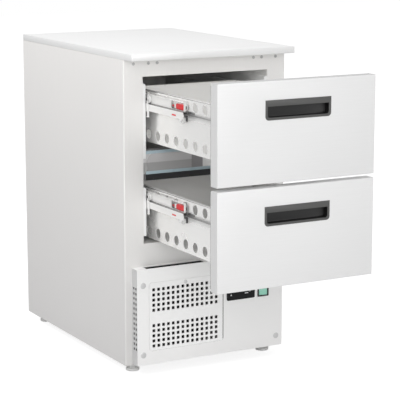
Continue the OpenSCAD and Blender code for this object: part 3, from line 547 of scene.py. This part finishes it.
# Painted shade on the fronts' side faces and on the upper front's top
front_steel = shaded_front_edges(brushed_steel("front_steel", (0.845, 0.845, 0.845), 0.12, 0.46, "x"))
# Painted shade on the machine cover: greyer side returns and a dark inside
cover_steel = painted_cover_shade(painted_shade_below(
    brushed_steel("cover_steel", (0.99, 0.99, 0.985), 0.25, 0.40, "x"),
    0.27, 0.04, (0.945, 0.94, 0.935)))
# Painted shade: dark lines at the access panel's edges for the gap round it
panel_steel = panel_gap_shade(brushed_steel("panel_steel", (0.985, 0.985, 0.98), 0.2, 0.40, "x"))
liner_steel = brushed_steel("liner_steel", (0.94, 0.94, 0.93), 0.25, 0.36, "y")
# Painted highlight: the carriers' steel is lighter than the face frame's, for the bright strip along
# their flanges
carrier_steel = brushed_steel("carrier_steel", (0.96, 0.96, 0.955), 0.15, 0.40, "z")
rail_steel = brushed_steel("rail_steel", (0.93, 0.925, 0.915), 0.3, 0.36, "y")
drawer_steel = brushed_steel("drawer_steel", (0.96, 0.955, 0.94), 0.05, 0.42, "y")
# Painted shadow on the drawer sides: a line under the top rim and a spot at the middle rail's front
# end
side_steel = polished_outside(stop_shadow(painted_shadow_line(
    brushed_steel("side_steel", (0.95, 0.945, 0.935), 0.3, 0.24, "y"),
    36.6 * MM, 0.8 * MM, SHADOW_LINE_BACK, SHADOW_LINE_FRONT, 0.3, DRAWER_SIDE)), DRAWER_SIDE, 0.0, 0.65)
# Painted shadow lines under the middle rails' ledge and at the drawer rails' flange edge
ledge_steel = painted_shadow_line(
    brushed_steel("ledge_steel", (0.93, 0.925, 0.915), 0.3, 0.36, "y"),
    5.3 * MM, 0.9 * MM, SHADOW_LINE_BACK, SHADOW_LINE_MIDDLE, 0.7)
flange_steel = painted_shadow_line(
    brushed_steel("flange_steel", (0.93, 0.925, 0.915), 0.3, 0.36, "y"),
    0.5 * MM, 0.9 * MM, SHADOW_LINE_MIDDLE, SHADOW_LINE_FRONT, 0.6)
# Painted reflections on the polished cross rail
polished_steel = painted_rail_reflections(brushed_steel("polished_steel", (0.74, 0.73, 0.74), 0.45, 0.24, "x"))
screw_steel = brushed_steel("screw_steel", (0.68, 0.68, 0.68), 0.4, 0.34, "x")
# Painted shade inside the pull's cup
pull_plastic = shaded_cup(moulded("pull_plastic", (0.080, 0.080, 0.078), 0.40))
black_plastic = moulded("black_plastic", (0.022, 0.022, 0.024), 0.34)
control_plastic = moulded("control_plastic", (0.012, 0.012, 0.013), 0.5, specular=0.15)
green_plastic = moulded("green_plastic", (0.38, 0.82, 0.65), 0.3, depth=0.000004, coat=0.2)
red_plastic = moulded("red_plastic", (0.78, 0.010, 0.018), 0.36, depth=0.000006, coat=0.1)
dark_red_plastic = moulded("dark_red_plastic", (0.52, 0.010, 0.018), 0.34, depth=0.000006)
white_nylon = moulded("white_nylon", (0.84, 0.84, 0.83), 0.34, depth=0.000008)
grey_plastic = moulded("grey_plastic", (0.56, 0.56, 0.56), 0.5)
foot_plastic = moulded("foot_plastic", (0.90, 0.90, 0.89), 0.45)
gasket_rubber = moulded("gasket_rubber", (0.30, 0.30, 0.31), 0.7, 500.0)
strip_plastic = moulded("strip_plastic", (0.46, 0.58, 0.63), 0.3, depth=0.00001)
icon_grey = moulded("icon_grey", (0.80, 0.80, 0.81), 0.5)
foam_core = foam("foam_core", (0.80, 0.74, 0.52))
compressor_black = moulded("compressor_black", (0.016, 0.016, 0.017), 0.22, 140.0, 0.00004, 0.6)
coil_black = moulded("coil_black", (0.03, 0.03, 0.031), 0.5)
motor_grey = brushed_steel("motor_grey", (0.16, 0.16, 0.165), 0.5, 0.45, "y")
aluminium = brushed_steel("aluminium", (0.68, 0.69, 0.70), 0.8, 0.35, "z")
copper = brushed_steel("copper", (0.72, 0.34, 0.19), 0.9, 0.30, "z")

CAD_FINISH = {
    "left_side_panel": outer_steel,
    "right_side_panel": outer_steel,
    "back_panel": outer_steel,
    "base_tray": outer_steel,
    "front_frame": frame_steel,
    "inner_liner": liner_steel,
    "insulation": foam_core,
    "mid_rail": polished_steel,
    "mid_rail_strips": strip_plastic,
    "slide_frames": carrier_steel,
    "fixed_rails": rail_steel,
    "compressor_cover": cover_steel,
    "access_grille": panel_steel,
    "switch_housing": black_plastic,
    "compressor": compressor_black,
    "condenser": coil_black,
    "condenser_fan_motor": motor_grey,
    "condenser_fan": black_plastic,
    "evaporator": aluminium,
    "evaporator_housing": drawer_steel,
    "evaporator_fan": black_plastic,
    "refrigerant_pipes": copper,
    "cable_gland": black_plastic,
}
for level in LEVELS:
    CAD_FINISH[f"{level}_middle_rails"] = ledge_steel
    CAD_FINISH[f"{level}_drawer_rails"] = flange_steel
    CAD_FINISH[f"{level}_drawer_sides"] = side_steel
    CAD_FINISH[f"{level}_drawer_tray"] = drawer_steel
    CAD_FINISH[f"{level}_front_core"] = drawer_steel


def finish_cad_nodes():
    for name, material in CAD_FINISH.items():
        for slot in frame["nodes"][name].material_slots:
            slot.material = material


def dress(piece, material, body, slot, *nodes):
    """Gives a finished piece its material and its body, and hides the nodes it stands for; the slot is
    not used.
    """
    piece.data.materials.clear()
    piece.data.materials.append(material)
    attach(piece, body)
    if nodes:
        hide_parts(*nodes)
    return piece


# ---- cabinet ----

def worktop():
    low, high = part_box("worktop")
    top = block("worktop_slab", low, high)
    soften(top, 1.5 * MM, 3)
    dress(top, top_steel, "cabinet", "stainless", "worktop")


PLUG_STEP = 25 * MM


def hole_plugs():
    """Three rounded caps on each side, the middle one a step outwards from the inner one."""
    rise = 0.9 * MM
    plugs = []
    for sign in (-1, 1):
        low, high = side_box("hole_plugs", sign)
        radius = (high.z - low.z) / 2
        inner = low.x + radius if sign > 0 else high.x - radius
        outer = high.x - radius if sign > 0 else low.x + radius
        for x in (inner, inner + sign * PLUG_STEP, outer):
            place = (x, high.y - rise, (high.z + low.z) / 2)
            plugs.append(soften(rod("plug", "y", place, 2 * rise, radius, 24), 0.4 * MM, 2))
    dress(join("frame_plugs", plugs), grey_plastic, "cabinet", "grey_plug", "hole_plugs")


RAIL_LIP = 17 * MM


def rail_lip():
    """Black facing on the lip under the cross rail."""
    low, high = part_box("mid_rail_strips")
    lip = block("rail_lip_facing", (low.x, low.y + 4.6 * MM, low.z - RAIL_LIP),
                (high.x, low.y + 5.1 * MM, low.z))
    dress(soften(lip, 0.2 * MM, 1), black_plastic, "cabinet", "gland_black")


# ---- feet ----

def foot(name):
    """A pad with a step, a hexagon and the plain stem that turns in the base."""
    low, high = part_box(name)
    x, y = (low.x + high.x) / 2, (low.y + high.y) / 2
    radius = (high.x - low.x) / 2
    pad = rod("pad", "z", (x, y, 3.8 * MM), 7.6 * MM, radius, 64)
    soften(pad, 1.8 * MM, 4)
    step = rod("step", "z", (x, y, 8.6 * MM), 3 * MM, radius * 0.62, 48)
    soften(step, 1.0 * MM, 3)
    nut = rod("nut", "z", (x, y, 12 * MM), 5 * MM, 10 * MM, 6)
    soften(nut, 0.6 * MM, 2)
    stem = rod("stem", "z", (x, y, (high.z + 8 * MM) / 2), high.z - 8 * MM, 4.9 * MM, 32)
    dress(join(f"{name}_assembly", [pad, step, nut, stem]), foot_plastic, name, "foot_plastic", name)


# ---- drawers ----

SHEET = 1.0 * MM
PULL_FLANGE = 1.3 * MM
PULL_WALL = 1.5 * MM
PULL_CORNER = 9 * MM
PULL_SIDE = 6 * MM
PULL_LIP = 15 * MM
# How far the bezel reaches below the CAD's pull
PULL_SKIRT = 3 * MM


def round_bottomed(name, low, high, radius):
    """A block whose two lower edges along Y are rounded, as the pull's outline is."""
    piece = block(name, low, high)
    round_edges(piece, edge_at(2, low[2], along=1), radius)
    return piece


def front_panel(level):
    low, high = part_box(f"{level}_front_skin")
    skin = block(f"{level}_front_panel", low, high)
    round_edges(skin, edge_at(1, low.y), 1.4 * MM, 3)
    pick(skin, "FACE", lambda face: face.normal.y > 0.9)
    bpy.ops.mesh.delete(type="FACE")
    done()
    wall = skin.modifiers.new("sheet", "SOLIDIFY")
    wall.thickness = SHEET
    wall.offset = -1
    apply(skin, wall)
    pull_low, pull_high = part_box(f"{level}_handle")
    inset = Vector((PULL_FLANGE, 0, PULL_FLANGE))
    opening_low = pull_low + inset
    opening_high = pull_high - inset
    opening_low.y = low.y - 1 * MM
    opening_high.y = low.y + 4 * MM
    cut(skin, round_bottomed("opening", opening_low, opening_high, PULL_CORNER - PULL_FLANGE))
    only(skin)
    bpy.ops.object.shade_smooth_by_angle(angle=SHARP)
    dress(skin, front_steel, f"{level}_drawer", "front_steel", f"{level}_front_skin")


def pull(level):
    low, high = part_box(f"{level}_handle")
    bezel_back = low.y + PULL_PROUD
    bezel = round_bottomed(
        f"{level}_pull", Vector((low.x, low.y, low.z - PULL_SKIRT)),
        Vector((high.x, bezel_back, high.z)), PULL_CORNER)
    cup_in = Vector((PULL_WALL, 0, PULL_WALL))
    cup_low = low + cup_in
    cup_low.y = bezel_back - 0.2 * MM
    add(bezel, round_bottomed("cup", cup_low, high - cup_in, PULL_CORNER - PULL_WALL))
    hollow_low = low + 2 * cup_in
    hollow_low.y = bezel_back + 2 * MM
    hollow_high = high - 2 * cup_in
    hollow_high.y = high.y - PULL_WALL
    cut(bezel, round_bottomed("hollow", hollow_low, hollow_high, PULL_CORNER - 2 * PULL_WALL))
    mouth_low = Vector((low.x + PULL_SIDE, low.y - 1 * MM, low.z + PULL_SIDE - PULL_SKIRT))
    mouth_high = Vector((high.x - PULL_SIDE, bezel_back + 3 * MM, high.z - PULL_LIP))
    cut(bezel, round_bottomed("mouth", mouth_low, mouth_high, PULL_CORNER - 2 * PULL_WALL))
    soften(bezel, 0.45 * MM, 2)
    dress(bezel, pull_plastic, f"{level}_drawer", "handle_plastic", f"{level}_handle")


def gasket_ring(name, low, high, width, radius):
    ring = block(name, low, high)
    inner_low = Vector((low.x + width, low.y - 1 * MM, low.z + width))
    inner_high = Vector((high.x - width, high.y + 1 * MM, high.z - width))
    cut(ring, block("inner", inner_low, inner_high))
    return soften(ring, radius, 3)


# Base strip, two soft folds of the bellows and the magnet bar: front, back, inset, width and
# edge radius of each, in mm
GASKET_RINGS = (
    (0, 4, 0, 14, 1.2),
    (3.6, 8.2, 2.5, 9, 1.6),
    (7.6, 12.2, 3.4, 7.2, 1.6),
    (11.4, 17.4, 1, 12, 1.8))


def gasket(level):
    low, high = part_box(f"{level}_gasket")
    rings = []
    for start, end, inset, width, radius in GASKET_RINGS:
        ring_low = Vector((low.x + inset * MM, low.y + start * MM, low.z + inset * MM))
        ring_high = Vector((high.x - inset * MM, low.y + end * MM, high.z - inset * MM))
        rings.append(gasket_ring("fold", ring_low, ring_high, width * MM, radius * MM))
    dress(join(f"{level}_door_seal", rings), gasket_rubber, f"{level}_drawer", "gasket_rubber",
          f"{level}_gasket")


# ---- slides ----

PIN_BORE = 3.08 * MM


def roller(node, sign):
    """A turned section: rim with round shoulders, a waist in the outer face and a bored hub."""
    low, high = side_box(node, sign)
    radius = (high.z - low.z) / 2
    y, z = (low.y + high.y) / 2, (low.z + high.z) / 2
    deselect()
    bpy.ops.mesh.primitive_plane_add(
        size=1, location=((low.x + high.x) / 2, y, z + (radius + PIN_BORE) / 2),
        rotation=(math.pi / 2, 0, 0))
    section = bpy.context.object
    section.scale = (high.x - low.x, radius - PIN_BORE, 1)
    settle(section)
    outer = high.x if sign > 0 else low.x
    pick(section, "EDGE", edge_at(0, outer))
    bpy.ops.mesh.subdivide(number_cuts=5)
    done()
    hub, rim = z + PIN_BORE + 1.6 * MM, z + radius - 1.8 * MM
    pick(section, "VERT", lambda corner: near(corner.co.x, outer) and hub < corner.co.z < rim)
    bpy.ops.transform.translate(value=(-sign * 1.0 * MM, 0, 0))
    done()
    pick(section, "VERT", lambda corner: near(corner.co.z, z + radius))
    bpy.ops.mesh.bevel(offset=0.7 * MM, segments=3, affect="VERTICES")
    done()
    return spun("roller", section, (0, y, z), (1, 0, 0))


def rollers(node):
    pair = [roller(node, sign) for sign in (-1, 1)]
    dress(join(f"{node}_pair", pair), white_nylon, node, "roller_nylon", node)


CATCH_EYE = 4.6 * MM
CATCH_BORE = 2.06 * MM
CATCH_INSET = 1.5 * MM
# Each part of the catch from its pin, in mm: front, back, bottom and top
CATCH_BODY = (4.2, 42, -7, 7)
CATCH_NECK = (36, 43, -5.4, 5)
CATCH_RING = (42, 52, -5.8, 5.6)
CATCH_TIP = (51, 65.2, -4.4, 4)


def catch(level, side):
    """Red body, its dark eye on the pin, a white ring, and a tapering finger tip."""
    node = f"{level}_{side}_catch"
    low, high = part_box(node)
    inner, outer = (high.x, low.x + CATCH_INSET) if side == "left" else (low.x, high.x - CATCH_INSET)
    pivot = JOINTS[f"{node}_lift"]["pos_m"]
    y, z = pivot[1], pivot[2]

    def across(name, front, back, bottom, top):
        return block(name, (low.x, y + front * MM, z + bottom * MM),
                     (high.x, y + back * MM, z + top * MM))

    body = across("body", *CATCH_BODY)
    round_edges(body, edge_along(0), 4 * MM, 5)
    soften(body, 1.1 * MM, 3)
    add(body, across("neck", *CATCH_NECK))
    eye = rod("eye", "x", ((inner + outer) / 2, y, z), abs(outer - inner), CATCH_EYE, 40)
    add(eye, block("arm", (min(inner, outer), y, z - CATCH_EYE),
                   (max(inner, outer), y + 9 * MM, z + CATCH_EYE)))
    cut(eye, rod("bore", "x", (inner, y, z), 20 * MM, CATCH_BORE, 32))
    eye.name = f"{node}_eye"
    dress(eye, black_plastic, node, "catch_red")
    dress(body, red_plastic, node, "catch_red", node)
    body.name = f"{node}_lever"
    ring = across(f"{node}_ring", *CATCH_RING)
    round_edges(ring, edge_along(0), 1.5 * MM, 3)
    soften(ring, 0.8 * MM, 3)
    dress(ring, white_nylon, node, "roller_nylon")
    tip = across(f"{node}_tip", *CATCH_TIP)
    pick(tip, "FACE", lambda face: face.normal.y > 0.9)
    bpy.ops.transform.resize(value=(1, 1, 0.35))
    done()
    soften(tip, 0.9 * MM, 3)
    dress(tip, dark_red_plastic, node, "catch_red")


# The red mark: ends along Y, and rise over the running line
MARK_START, MARK_END = -0.257, -0.236
MARK_LOW, MARK_HIGH = -8.4 * MM, -4.8 * MM
# How far the web's outer face lies beside the outer face of the front roller
WEB_BESIDE = 2 * MM


def lower_web(level, sign):
    """Outer face of the lower web of a middle rail."""
    low, high = side_box(f"{level}_middle_front_rollers", sign)
    return (high.x if sign > 0 else low.x) + sign * WEB_BESIDE


def rail_marks(level):
    """A short red mark on the lower band of each middle rail."""
    marks = []
    run = RUNNING_LINE[level]
    for sign in SIDES.values():
        face = lower_web(level, sign)
        mark = block("mark", (face - 0.12 * MM, MARK_START, run + MARK_LOW),
                     (face + 0.12 * MM, MARK_END, run + MARK_HIGH))
        marks.append(soften(mark, 0.05 * MM, 1))
    dress(join(f"{level}_rail_marks", marks), red_plastic, f"{level}_middle_rails", "catch_red")


# Black pieces that paint the shade on the bent tabs: how far they stand out in front of the rail, the
# length of arm and leg along Y, and heights over the running line
HOOK_FRONT = 4.5 * MM
HOOK_REACH = 18 * MM
HOOK_LEG = 8 * MM
HOOK_TOP, HOOK_MIDDLE, HOOK_BOTTOM = -0.6 * MM, -6.4 * MM, -15.4 * MM


def rail_hooks(level):
    """Black pieces on the bent tabs at the front ends of the middle rails: painted shade where the
    hooks lie in shadow.
    """
    shade_pieces = []
    run = RUNNING_LINE[level]
    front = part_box(f"{level}_middle_rails")[0].y - HOOK_FRONT
    for sign in SIDES.values():
        face = lower_web(level, sign)
        inner = face - sign * 1.5 * MM
        outer = face + sign * 0.3 * MM
        x = (min(inner, outer), max(inner, outer))
        arm = block("arm", (x[0], front, run + HOOK_MIDDLE),
                    (x[1], front + HOOK_REACH, run + HOOK_TOP))
        add(arm, block("leg", (x[0], front, run + HOOK_BOTTOM),
                       (x[1], front + HOOK_LEG, run + HOOK_TOP - 0.4 * MM)))
        shade_pieces.append(soften(arm, 0.4 * MM, 2))
    dress(join(f"{level}_rail_hooks", shade_pieces), black_plastic, f"{level}_middle_rails", "gland_black")


def roller_rivets(level):
    """Dark rivet heads of the pins that carry the fixed rollers."""
    rivets = []
    for sign in SIDES.values():
        low, high = side_box(f"{level}_fixed_rollers", sign)
        y, z = (low.y + high.y) / 2, (low.z + high.z) / 2
        face = (high.x if sign > 0 else low.x) + sign * 3.8 * MM
        rivet = rod("rivet", "x", (face, y, z), 0.9 * MM, 3.9 * MM, 32)
        rivets.append(soften(rivet, 0.3 * MM, 2))
    dress(join(f"{level}_roller_rivets", rivets), black_plastic, "cabinet", "rail_steel")


# ---- machine cover ----

CAP_RADIUS = 8 * MM
CAP_DIMPLE = 0.9 * MM
SHANK_RADIUS = 2.4 * MM


def screw_caps():
    """Caps with a rounded edge and a dimple in the middle, on plain shanks."""
    caps = []
    for sign in (-1, 1):
        low, high = side_box("cover_screws", sign)
        x = (low.x + high.x) / 2
        face = low.y
        for z in (low.z + CAP_RADIUS, high.z - CAP_RADIUS):
            cap = rod("cap", "y", (x, face + 1.0 * MM, z), 2.0 * MM, CAP_RADIUS, 48)
            round_edges(cap, edge_at(1, face), 0.9 * MM, 3)
            pick(cap, "FACE", lambda part: part.normal.y < -0.95)
            bpy.ops.mesh.inset(thickness=3.4 * MM)
            bpy.ops.transform.translate(value=(0, CAP_DIMPLE, 0))
            done()
            caps.append(soften(cap, 0.12 * MM, 1))
            length = high.y - face - 1 * MM
            caps.append(rod("shank", "y", (x, (face + high.y) / 2, z), length, SHANK_RADIUS, 24))
    dress(join("cover_screw_caps", caps), screw_steel, "cabinet", "screw_steel", "cover_screws")


# The knob's place along X, and its rise over the middle of the access panel
KNOB_X = -78.4 * MM
KNOB_RISE = 83.5 * MM


def access_knob():
    """The small knob near the top of the access panel."""
    low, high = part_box("access_grille")
    front = low.y
    z = (low.z + high.z) / 2 + KNOB_RISE
    knob = rod("access_knob", "y", (KNOB_X, front + 1.7 * MM, z), 3.6 * MM, 5 * MM, 40)
    round_edges(knob, edge_at(1, front - 0.1 * MM), 1.0 * MM, 4)
    soften(knob, 0.15 * MM, 1)
    dress(knob, screw_steel, "cabinet", "screw_steel")


WINDOW_RIM = 3 * MM
WINDOW_DEPTH = 0.5 * MM


def controller():
    """Bezel, the sunk window and the case behind them."""
    low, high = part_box("controller")
    bezel_back = low.y + 2 * MM
    bezel = block("control_bezel", low, Vector((high.x, bezel_back, high.z)))
    round_edges(bezel, edge_along(1), 4 * MM)
    glass_low = low + Vector((WINDOW_RIM, -1 * MM, WINDOW_RIM))
    glass_high = Vector((high.x - WINDOW_RIM, low.y + WINDOW_DEPTH, high.z - WINDOW_RIM))
    window = block("window", glass_low, glass_high)
    round_edges(window, edge_along(1), 2 * MM)
    cut(bezel, window)
    case_in = Vector((3.5 * MM, 0, 3.5 * MM))
    case_low = low + case_in
    case_low.y = bezel_back - 0.2 * MM
    add(bezel, block("case", case_low, high - case_in))
    soften(bezel, 0.35 * MM, 2)
    dress(bezel, control_plastic, "cabinet", "control_plastic", "controller")
    control_marks(low, high)


# Where the marks lie across the controller, as shares of its width
ARROWS_AT, RING_AT = 0.15, 0.82
BAR_START, BAR_END = 0.64, 0.76


def control_marks(low, high):
    """Plain marks on the keys: an up and a down arrow at the left, a ring and a bar at the right."""
    face = low.y + WINDOW_DEPTH
    middle = (low.z + high.z) / 2
    width = high.x - low.x
    marks = []
    for rise, turn in ((5 * MM, math.pi), (-5 * MM, 0)):
        deselect()
        bpy.ops.mesh.primitive_cylinder_add(
            vertices=3, radius=3 * MM, depth=0.3 * MM,
            location=(low.x + ARROWS_AT * width, face, middle + rise), rotation=(math.pi / 2, turn, 0))
        marks.append(settle(bpy.context.object))
    deselect()
    bpy.ops.mesh.primitive_torus_add(
        major_radius=4 * MM, minor_radius=0.5 * MM, major_segments=32, minor_segments=6,
        location=(low.x + RING_AT * width, face, middle + 4 * MM), rotation=(math.pi / 2, 0, 0))
    marks.append(settle(bpy.context.object))
    marks.append(block("bar", (low.x + BAR_START * width, face - 0.15 * MM, middle - 4.6 * MM),
                       (low.x + BAR_END * width, face + 0.15 * MM, middle - 2.2 * MM)))
    dress(join("control_marks", marks), icon_grey, "cabinet", "grey_plug")


ROCKER_TILT = math.radians(8)
ROCKER_BORE = 1.56 * MM


def rocker():
    """A key with a bulge in front of its pin and thinner ends, in one of its two positions."""
    low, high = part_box("switch_rocker")
    pivot = Vector(JOINTS["switch_rocker_tilt"]["pos_m"])
    half = 11.8 * MM
    key = block("rocker_key", (-half, -6 * MM, low.z - pivot.z), (half, 3 * MM, high.z - pivot.z))
    pick(key, "EDGE", edge_along(0))
    bpy.ops.mesh.subdivide(number_cuts=5)
    done()
    pick(key, "VERT", lambda corner: corner.co.y < -5 * MM and abs(corner.co.x) < half * 0.2)
    bpy.ops.transform.translate(value=(0, -1.2 * MM, 0))
    done()
    pick(key, "VERT", lambda corner: corner.co.y > 0 and abs(corner.co.x) > half * 0.5)
    bpy.ops.transform.translate(value=(0, -3 * MM, 0))
    done()
    cut(key, rod("rocker_bore", "z", (0, 0, 0), 40 * MM, ROCKER_BORE, 24))
    key.location = pivot
    key.rotation_euler = (0, 0, -ROCKER_TILT)
    settle(key)
    soften(key, 0.4 * MM, 2)
    dress(key, green_plastic, "switch_rocker", "switch_green", "switch_rocker")


# ---- stage ----

# The photo's side and the camera's focal length, in pixels
PHOTO_SIDE = 400
CAMERA_FOCUS = 1589.1
CAMERA_PLACE = (-2.0050, -3.6987, 1.2294)
CAMERA_YAW = math.radians(28.905)
CAMERA_PITCH = math.radians(10.768)


def camera():
    data = bpy.data.cameras.new("camera")
    data.sensor_width = 36
    data.lens = CAMERA_FOCUS / PHOTO_SIDE * data.sensor_width
    data.clip_end = 50
    view = bpy.data.objects.new("camera", data)
    view.location = CAMERA_PLACE
    view.rotation_euler = (math.pi / 2 - CAMERA_PITCH, 0, -CAMERA_YAW)
    bpy.context.scene.collection.objects.link(view)
    bpy.context.scene.camera = view


AMBIENT = 0.56
# What the floor's glow adds for the camera, and where a surface mirrors the floor
FLOOR_LIFT = 0.80
FLOOR_MIRRORED = 0.40


def seen_directly(tree):
    """One for a ray from the camera, or one mirrored or passed on by a surface."""
    rays = node_of(tree, "ShaderNodeLightPath").outputs
    mirrored = either(tree, rays["Is Camera Ray"], rays["Is Glossy Ray"])
    return either(tree, mirrored, rays["Is Transmission Ray"])


def world():
    made = bpy.data.worlds.new("studio")
    bpy.context.scene.world = made
    made.use_nodes = True
    tree = made.node_tree
    tree.nodes.clear()
    ambient = node_of(tree, "ShaderNodeBackground")
    ambient.inputs["Color"].default_value = (1, 1, 1, 1)
    ambient.inputs["Strength"].default_value = AMBIENT
    white = node_of(tree, "ShaderNodeBackground")
    white.inputs["Color"].default_value = (1, 1, 1, 1)
    white.inputs["Strength"].default_value = 1.0
    mix = node_of(tree, "ShaderNodeMixShader")
    out = node_of(tree, "ShaderNodeOutputWorld")
    tree.links.new(seen_directly(tree), mix.inputs["Fac"])
    tree.links.new(ambient.outputs[0], mix.inputs[1])
    tree.links.new(white.outputs[0], mix.inputs[2])
    tree.links.new(mix.outputs[0], out.inputs["Surface"])


def floor():
    """A grey floor that the camera sees white where no shadow falls."""
    deselect()
    bpy.ops.mesh.primitive_plane_add(size=24, location=(0, 0, 0))
    ground = bpy.context.object
    ground.name = "floor"
    material = bpy.data.materials.new("floor")
    material.use_nodes = True
    tree = material.node_tree
    tree.nodes.clear()
    matt = node_of(tree, "ShaderNodeBsdfDiffuse")
    matt.inputs["Color"].default_value = (0.50, 0.50, 0.50, 1)
    glow = node_of(tree, "ShaderNodeEmission")
    rays = node_of(tree, "ShaderNodeLightPath")
    mirrored = node_of(tree, "ShaderNodeMath", operation="MULTIPLY")
    mirrored.inputs[1].default_value = FLOOR_MIRRORED
    lift = node_of(tree, "ShaderNodeMath", operation="MULTIPLY_ADD")
    lift.inputs[1].default_value = FLOOR_LIFT
    total = node_of(tree, "ShaderNodeAddShader")
    out = node_of(tree, "ShaderNodeOutputMaterial")
    tree.links.new(rays.outputs["Is Glossy Ray"], mirrored.inputs[0])
    tree.links.new(rays.outputs["Is Camera Ray"], lift.inputs[0])
    tree.links.new(mirrored.outputs[0], lift.inputs[2])
    tree.links.new(lift.outputs[0], glow.inputs["Strength"])
    tree.links.new(matt.outputs[0], total.inputs[0])
    tree.links.new(glow.outputs[0], total.inputs[1])
    tree.links.new(total.outputs[0], out.inputs["Surface"])
    ground.data.materials.append(material)


def lamp(name, place, target, size, power):
    data = bpy.data.lights.new(name, "AREA")
    data.shape = "SQUARE"
    data.size = size
    data.energy = power
    made = bpy.data.objects.new(name, data)
    made.location = place
    made.rotation_euler = (Vector(target) - Vector(place)).to_track_quat("-Z", "Y").to_euler()
    bpy.context.scene.collection.objects.link(made)


def studio():
    middle = (0, 0, 0.45)
    lamp("key", (-2.8, -3.4, 2.8), middle, 3.0, 58)
    lamp("front", (-0.6, -4.4, 0.9), middle, 3.0, 62)
    lamp("left", (-1.6, 0.1, 2.0), (-0.24, 0, 0.75), 1.0, 8)
    lamp("top", (-0.6, 0, 4.2), middle, 3.0, 22)


# ---- the object ----

camera()
finish_cad_nodes()
worktop()
hole_plugs()
rail_lip()
for name in ("front_left_foot", "front_right_foot", "rear_left_foot", "rear_right_foot"):
    foot(name)
for level in LEVELS:
    front_panel(level)
    pull(level)
    gasket(level)
    rail_marks(level)
    rail_hooks(level)
    roller_rivets(level)
    for kind in ("fixed_rollers", "middle_rear_rollers", "middle_front_rollers", "drawer_rollers"):
        rollers(f"{level}_{kind}")
    for side in SIDES:
        catch(level, side)
screw_caps()
access_knob()
controller()
rocker()
floor()
world()
studio()

scene = bpy.context.scene
scene.view_settings.view_transform = "Standard"
